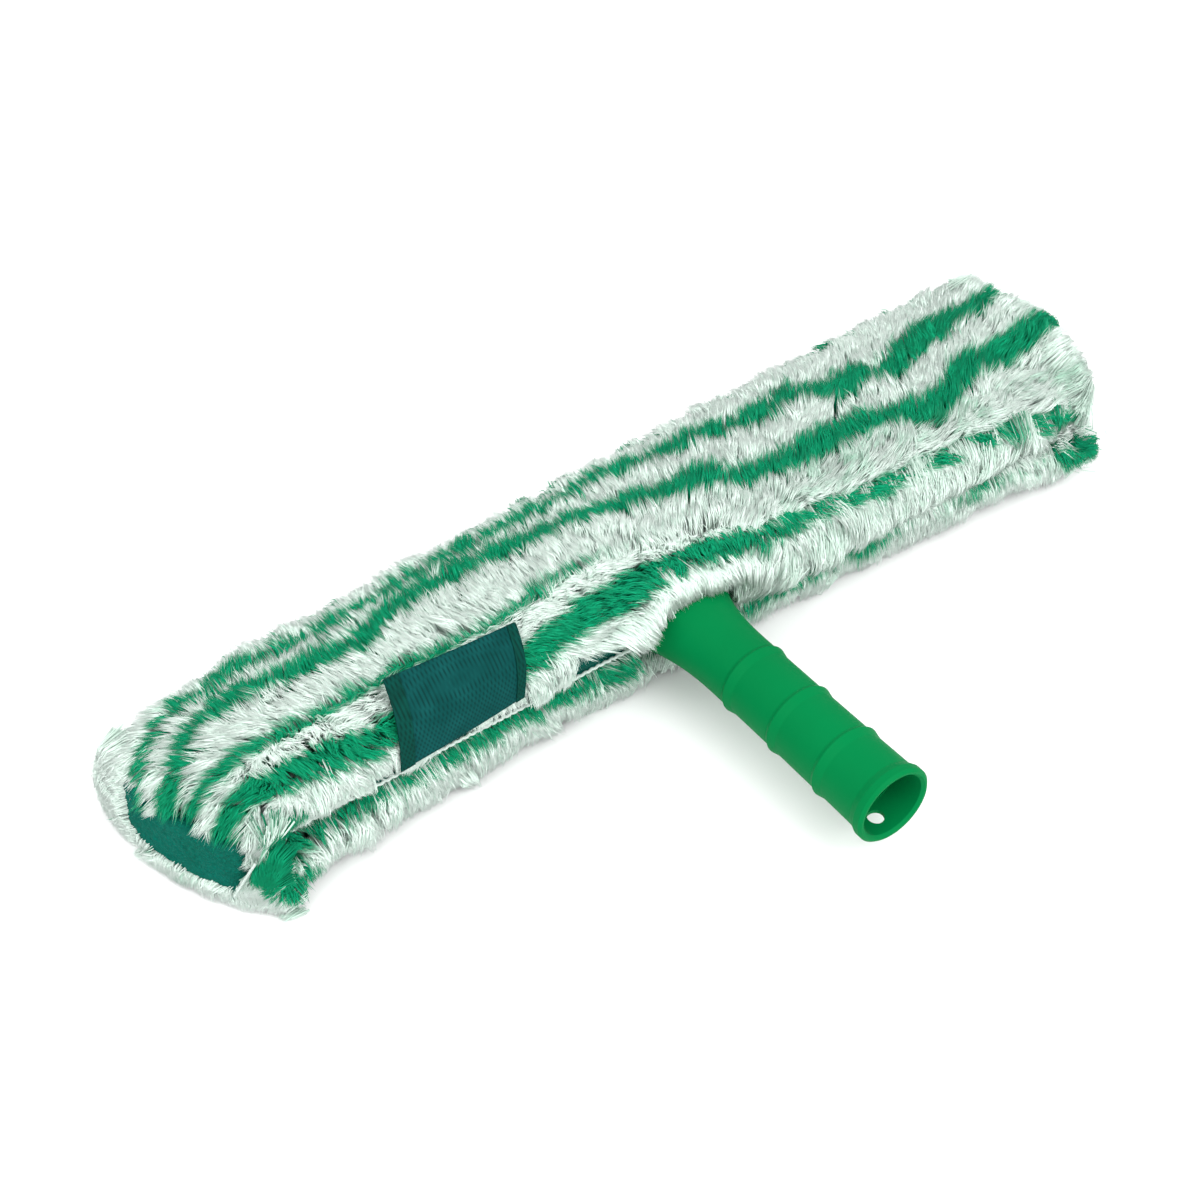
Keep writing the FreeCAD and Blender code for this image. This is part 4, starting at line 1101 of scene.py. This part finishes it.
def strays(paths, comb):
    """Strands that stand out past the sleeve, or that would start outside the end cloth."""
    root, tip = paths[:, 0], paths[:, -1]
    stray = np.linalg.norm(tip - comb["tip"], axis=-1) > 7.0
    stray |= np.abs(tip[:, 0]) > np.where(tip[:, 0] < 0, 4.0, 1.5) + END_REACH
    # The right end's front corner is rounded off in plan
    corner = 0.8 * tip[:, 0] - 0.6 * tip[:, 1]
    stray |= corner > RIGHT_CORNER + 7.0 * smooth(0.0, -5.0, tip[:, 2])
    stray |= (tip[:, 0] < -150.0) & ((tip[:, 1] > 40.0) | (comb["s"] > BACK_GIRTH))
    stray |= np.abs(root[:, 0]) > end_reach(np.sign(root[:, 0]), root[:, 1]) - 3.0
    return stray


PILE_PLACES = (("upper_pile", "washer", "upper_plush"), ("flap_pile", "flap", "closure_flap"),
               ("lower_pile", "washer", "lower_plush"))


def pile_pieces():
    comb = joined(body_pile(), face_pile(), pad_surround(), fringe_pile())
    paths, looks = strand_paths(comb)
    paths = behind_label(paths)
    root = paths[:, 0]
    region = pile_regions(root)
    region[-FRINGE_STRANDS:] = 1
    region[strays(paths, comb)] = -1
    for number, (name, body, node) in enumerate(PILE_PLACES):
        chosen = np.flatnonzero(region == number)
        chosen = chosen[np.argsort(root[chosen, 0], kind="stable")]
        parts = math.ceil(len(chosen) / STRANDS_PER_PIECE)
        for part, some in enumerate(np.array_split(chosen, parts), 1):
            piece_name = f"{name}_{part}" if parts > 1 else name
            mesh = strand_mesh(piece_name, paths[some], {key: one[some] for key, one in looks.items()})
            new_piece(piece_name, mesh, PILE, body, (node,))


# Pad, label and hems

PAD_Y = (-28.0, 18.0)
PAD_Z = (-21.5, 2.0)
PAD_SET = 3.0
PAD_THICKNESS = 6.0
PAD_SEAM = ((-171.2, -27.8, -18.0), (-166.0, -34.6, 0.0))    # thread along the pad's front edge


def scouring_pad():
    """Fleece block curved to the end of the sleeve, rounded over at its edges."""
    rows, columns = 44, 26
    v = np.linspace(-1.0, 1.0, rows)[:, None] * np.ones(columns)
    w = np.linspace(-1.0, 1.0, columns)[None, :] * np.ones((rows, 1))
    y = sum(PAD_Y) / 2 + v * (PAD_Y[1] - PAD_Y[0]) / 2
    z = sum(PAD_Z) / 2 + w * (PAD_Z[1] - PAD_Z[0]) / 2
    edge = np.maximum(np.abs(v) ** 10, np.abs(w) ** 7)
    rough = 0.25 * ripple(9.0 * y, 9.0 * z, 6.0) + 0.15 * random.normal(size=y.shape)
    face = end_reach(-1, y) - PAD_SET - 1.6 * edge + rough * (1 - edge)
    back = end_reach(-1, y) - PAD_SET - PAD_THICKNESS + 0.8 * edge
    outer = np.stack((-face, y, z), axis=-1)
    inner = np.stack((-back, y * 0.985, z * 0.985), axis=-1)
    mesh = thick_sheet("fleece_pad", outer, inner)
    piece = new_piece("fleece_pad", mesh, FLEECE, "washer", ("scrub_pad",))
    seam = np.linspace(PAD_SEAM[0], PAD_SEAM[1], 60)
    seam[:, 0] += 0.15 * np.sin(np.arange(60) * 1.3)
    thread = tube("fleece_seam", seam, 0.5, 6)
    new_piece("fleece_seam", thread, THREAD, "washer", ("scrub_pad",))


def label_sheet(name, u_range, v_range, lift, thickness, material, nodes=()):
    u, v = np.meshgrid(np.linspace(*u_range, 33), np.linspace(*v_range, 25), indexing="ij")
    mesh = thick_sheet(name, label_point(u, v, lift + thickness + 0 * u), label_point(u, v, lift + 0 * u))
    return new_piece(name, mesh, material, "washer", nodes)


def sewn_label():
    face = label_sheet("label_face", (0.0, 1.0), (0.0, 1.0), 0.0, LABEL_THICKNESS, LABEL_CLOTH,
                       ("sewn_label",))
    folds = [label_sheet(name, across, (-0.005, 1.0), LABEL_THICKNESS, 0.5, LABEL_BORDER)
             for name, across in (("label_left_fold", (-0.012, LABEL_BORDER_SHARE)),
                                  ("label_right_fold", (1 - 0.6 * LABEL_BORDER_SHARE, 1.012)))]


HEM_FRONT = -30.0
HEM_BACK = -15.2
HEM_END = 154.0
HEM_INNER = 19.0
TONGUE_INNER = 31.0
TONGUE_OUTER = 58.0
TONGUE_TOP = 12.8
HEM_THICKNESS = 1.1
TONGUE_THICKNESS = 1.9


def hem_tape(name, side, node):
    """Tape along the lower lip, turned up into a tongue behind the flap, with a pale sewn edge."""
    inner = HEM_INNER if side < 0 else TONGUE_INNER

    def hem_piece(piece_name, mesh, material):
        return new_piece(piece_name, mesh, material, "washer", (node,))

    def tape(piece_name, *layers):
        mesh = thick_sheet(piece_name, *layers[::-side])
        return hem_piece(piece_name, mesh, HEM_TAPE)

    x = side * np.linspace(inner, HEM_END, 96)
    grid_x, grid_y = np.meshgrid(x, np.linspace(HEM_FRONT, HEM_BACK - 1.4, 9), indexing="ij")
    wave = 0.25 * np.sin(0.12 * grid_x) + 0.15 * np.sin(0.31 * grid_x + 1.0)
    lower = np.stack((grid_x, grid_y, wave), axis=-1)
    strip = tape(name, lower + np.array((0.0, 0.0, HEM_THICKNESS)), lower)
    tongue_x = side * np.linspace(TONGUE_INNER, TONGUE_OUTER, 28)
    grid_x, grid_z = np.meshgrid(tongue_x, np.linspace(-1.0, TONGUE_TOP, 13), indexing="ij")
    front = np.stack((grid_x, np.full_like(grid_x, HEM_BACK - 2.0), grid_z), axis=-1)
    tongue = tape(name + "_tongue", front + np.array((0.0, TONGUE_THICKNESS, 0.0)), front)
    edge_x = side * np.linspace(inner, HEM_END, 260)
    edge = np.stack((edge_x, HEM_FRONT - 0.5 + 0.18 * np.sin(2.4 * edge_x),
                     0.7 + 0.25 * np.sin(0.12 * edge_x) + 0.2 * np.cos(2.4 * edge_x)), axis=-1)
    sewn = hem_piece(name + "_sewn_edge", tube(name + "_sewn_edge", edge, 0.55, 6), THREAD)


# Camera, light and floor

def studio():
    azimuth, elevation = math.radians(VIEW_AZIMUTH), math.radians(VIEW_ELEVATION)
    right = np.array((math.cos(azimuth), -math.sin(azimuth), 0.0))
    up = np.array((math.sin(azimuth) * math.sin(elevation), math.cos(azimuth) * math.sin(elevation),
                   math.cos(elevation)))
    back = np.array((-math.sin(azimuth) * math.cos(elevation), -math.cos(azimuth) * math.cos(elevation),
                     math.sin(elevation)))
    place = to_row(VIEW_ASIDE * right + VIEW_RAISE * up + VIEW_DISTANCE * back)
    data = bpy.data.cameras.new("camera")
    data.sensor_width = SENSOR
    data.lens = SENSOR * FOCAL_PIXELS / IMAGE_PIXELS
    data.dof.use_dof = False
    camera = bpy.data.objects.new("camera", data)
    camera.matrix_world = Matrix([[*row, p] for row, p in zip(np.stack((right, up, back), axis=1), place)]
                                 + [[0.0, 0.0, 0.0, 1.0]])
    bpy.context.scene.collection.objects.link(camera)
    bpy.context.scene.camera = camera

    world = bpy.data.worlds.new("studio")
    world.use_nodes = True
    world.node_tree.nodes["Background"].inputs["Color"].default_value = (1.0, 1.0, 1.0, 1.0)
    world.node_tree.nodes["Background"].inputs["Strength"].default_value = 1.1
    bpy.context.scene.world = world

    for name, spot, size, power in (("key_softbox", (0.15, -0.9, 0.95), 0.9, 10.5),
                                    ("fill_softbox", (-0.7, -0.2, 1.0), 1.0, 6.0)):
        light = bpy.data.lights.new(name, "AREA")
        light.shape = "DISK"
        light.size = size
        light.energy = power
        lamp = bpy.data.objects.new(name, light)
        lamp.location = spot
        lamp.rotation_euler = (Vector((0.0, 0.02, 0.02)) - Vector(spot)).to_track_quat("-Z", "Y").to_euler()
        bpy.context.scene.collection.objects.link(lamp)

    floor_mesh = bpy.data.meshes.new("floor")
    half = 4.0
    corners = [(-half, -half, 0), (half, -half, 0), (half, half, 0), (-half, half, 0)]
    floor_mesh.from_pydata(corners, [], [(0, 1, 2, 3)])
    floor_mesh.materials.append(floor_material())
    floor = bpy.data.objects.new("floor", floor_mesh)
    floor.location.z = -0.0004
    bpy.context.scene.collection.objects.link(floor)
    bpy.context.scene.view_settings.view_transform = "Standard"


NODE_FINISHES = {
    "handle_socket": HANDLE_GREEN,
    "crossbar": BAR_GREEN, "left_end_cap": BAR_GREEN, "right_end_cap": BAR_GREEN,
    "handle_screws": SCREW_STEEL, "snap_studs": SNAP_NICKEL, "snap_posts": SNAP_NICKEL,
    "snap_sockets": SNAP_NICKEL, "snap_caps": SNAP_NICKEL,
}


def finish_nodes():
    for node, material in NODE_FINISHES.items():
        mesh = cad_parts[node].data
        mesh.materials.clear()
        mesh.materials.append(material)


studio()
finish_nodes()
backing_pieces()
end_cloth("left_end_cloth", -1, "left_end_panel")
end_cloth("right_end_cloth", 1, "right_end_panel")
flap_panel()
turned_tape()
flap_facing("left_facing", -1, "left_flap_facing")
flap_facing("right_facing", 1, "right_flap_facing")
flap_binding()
pile_pieces()
scouring_pad()
sewn_label()
hem_tape("left_hem", -1, "left_hem_tape")
hem_tape("right_hem", 1, "right_hem_tape")
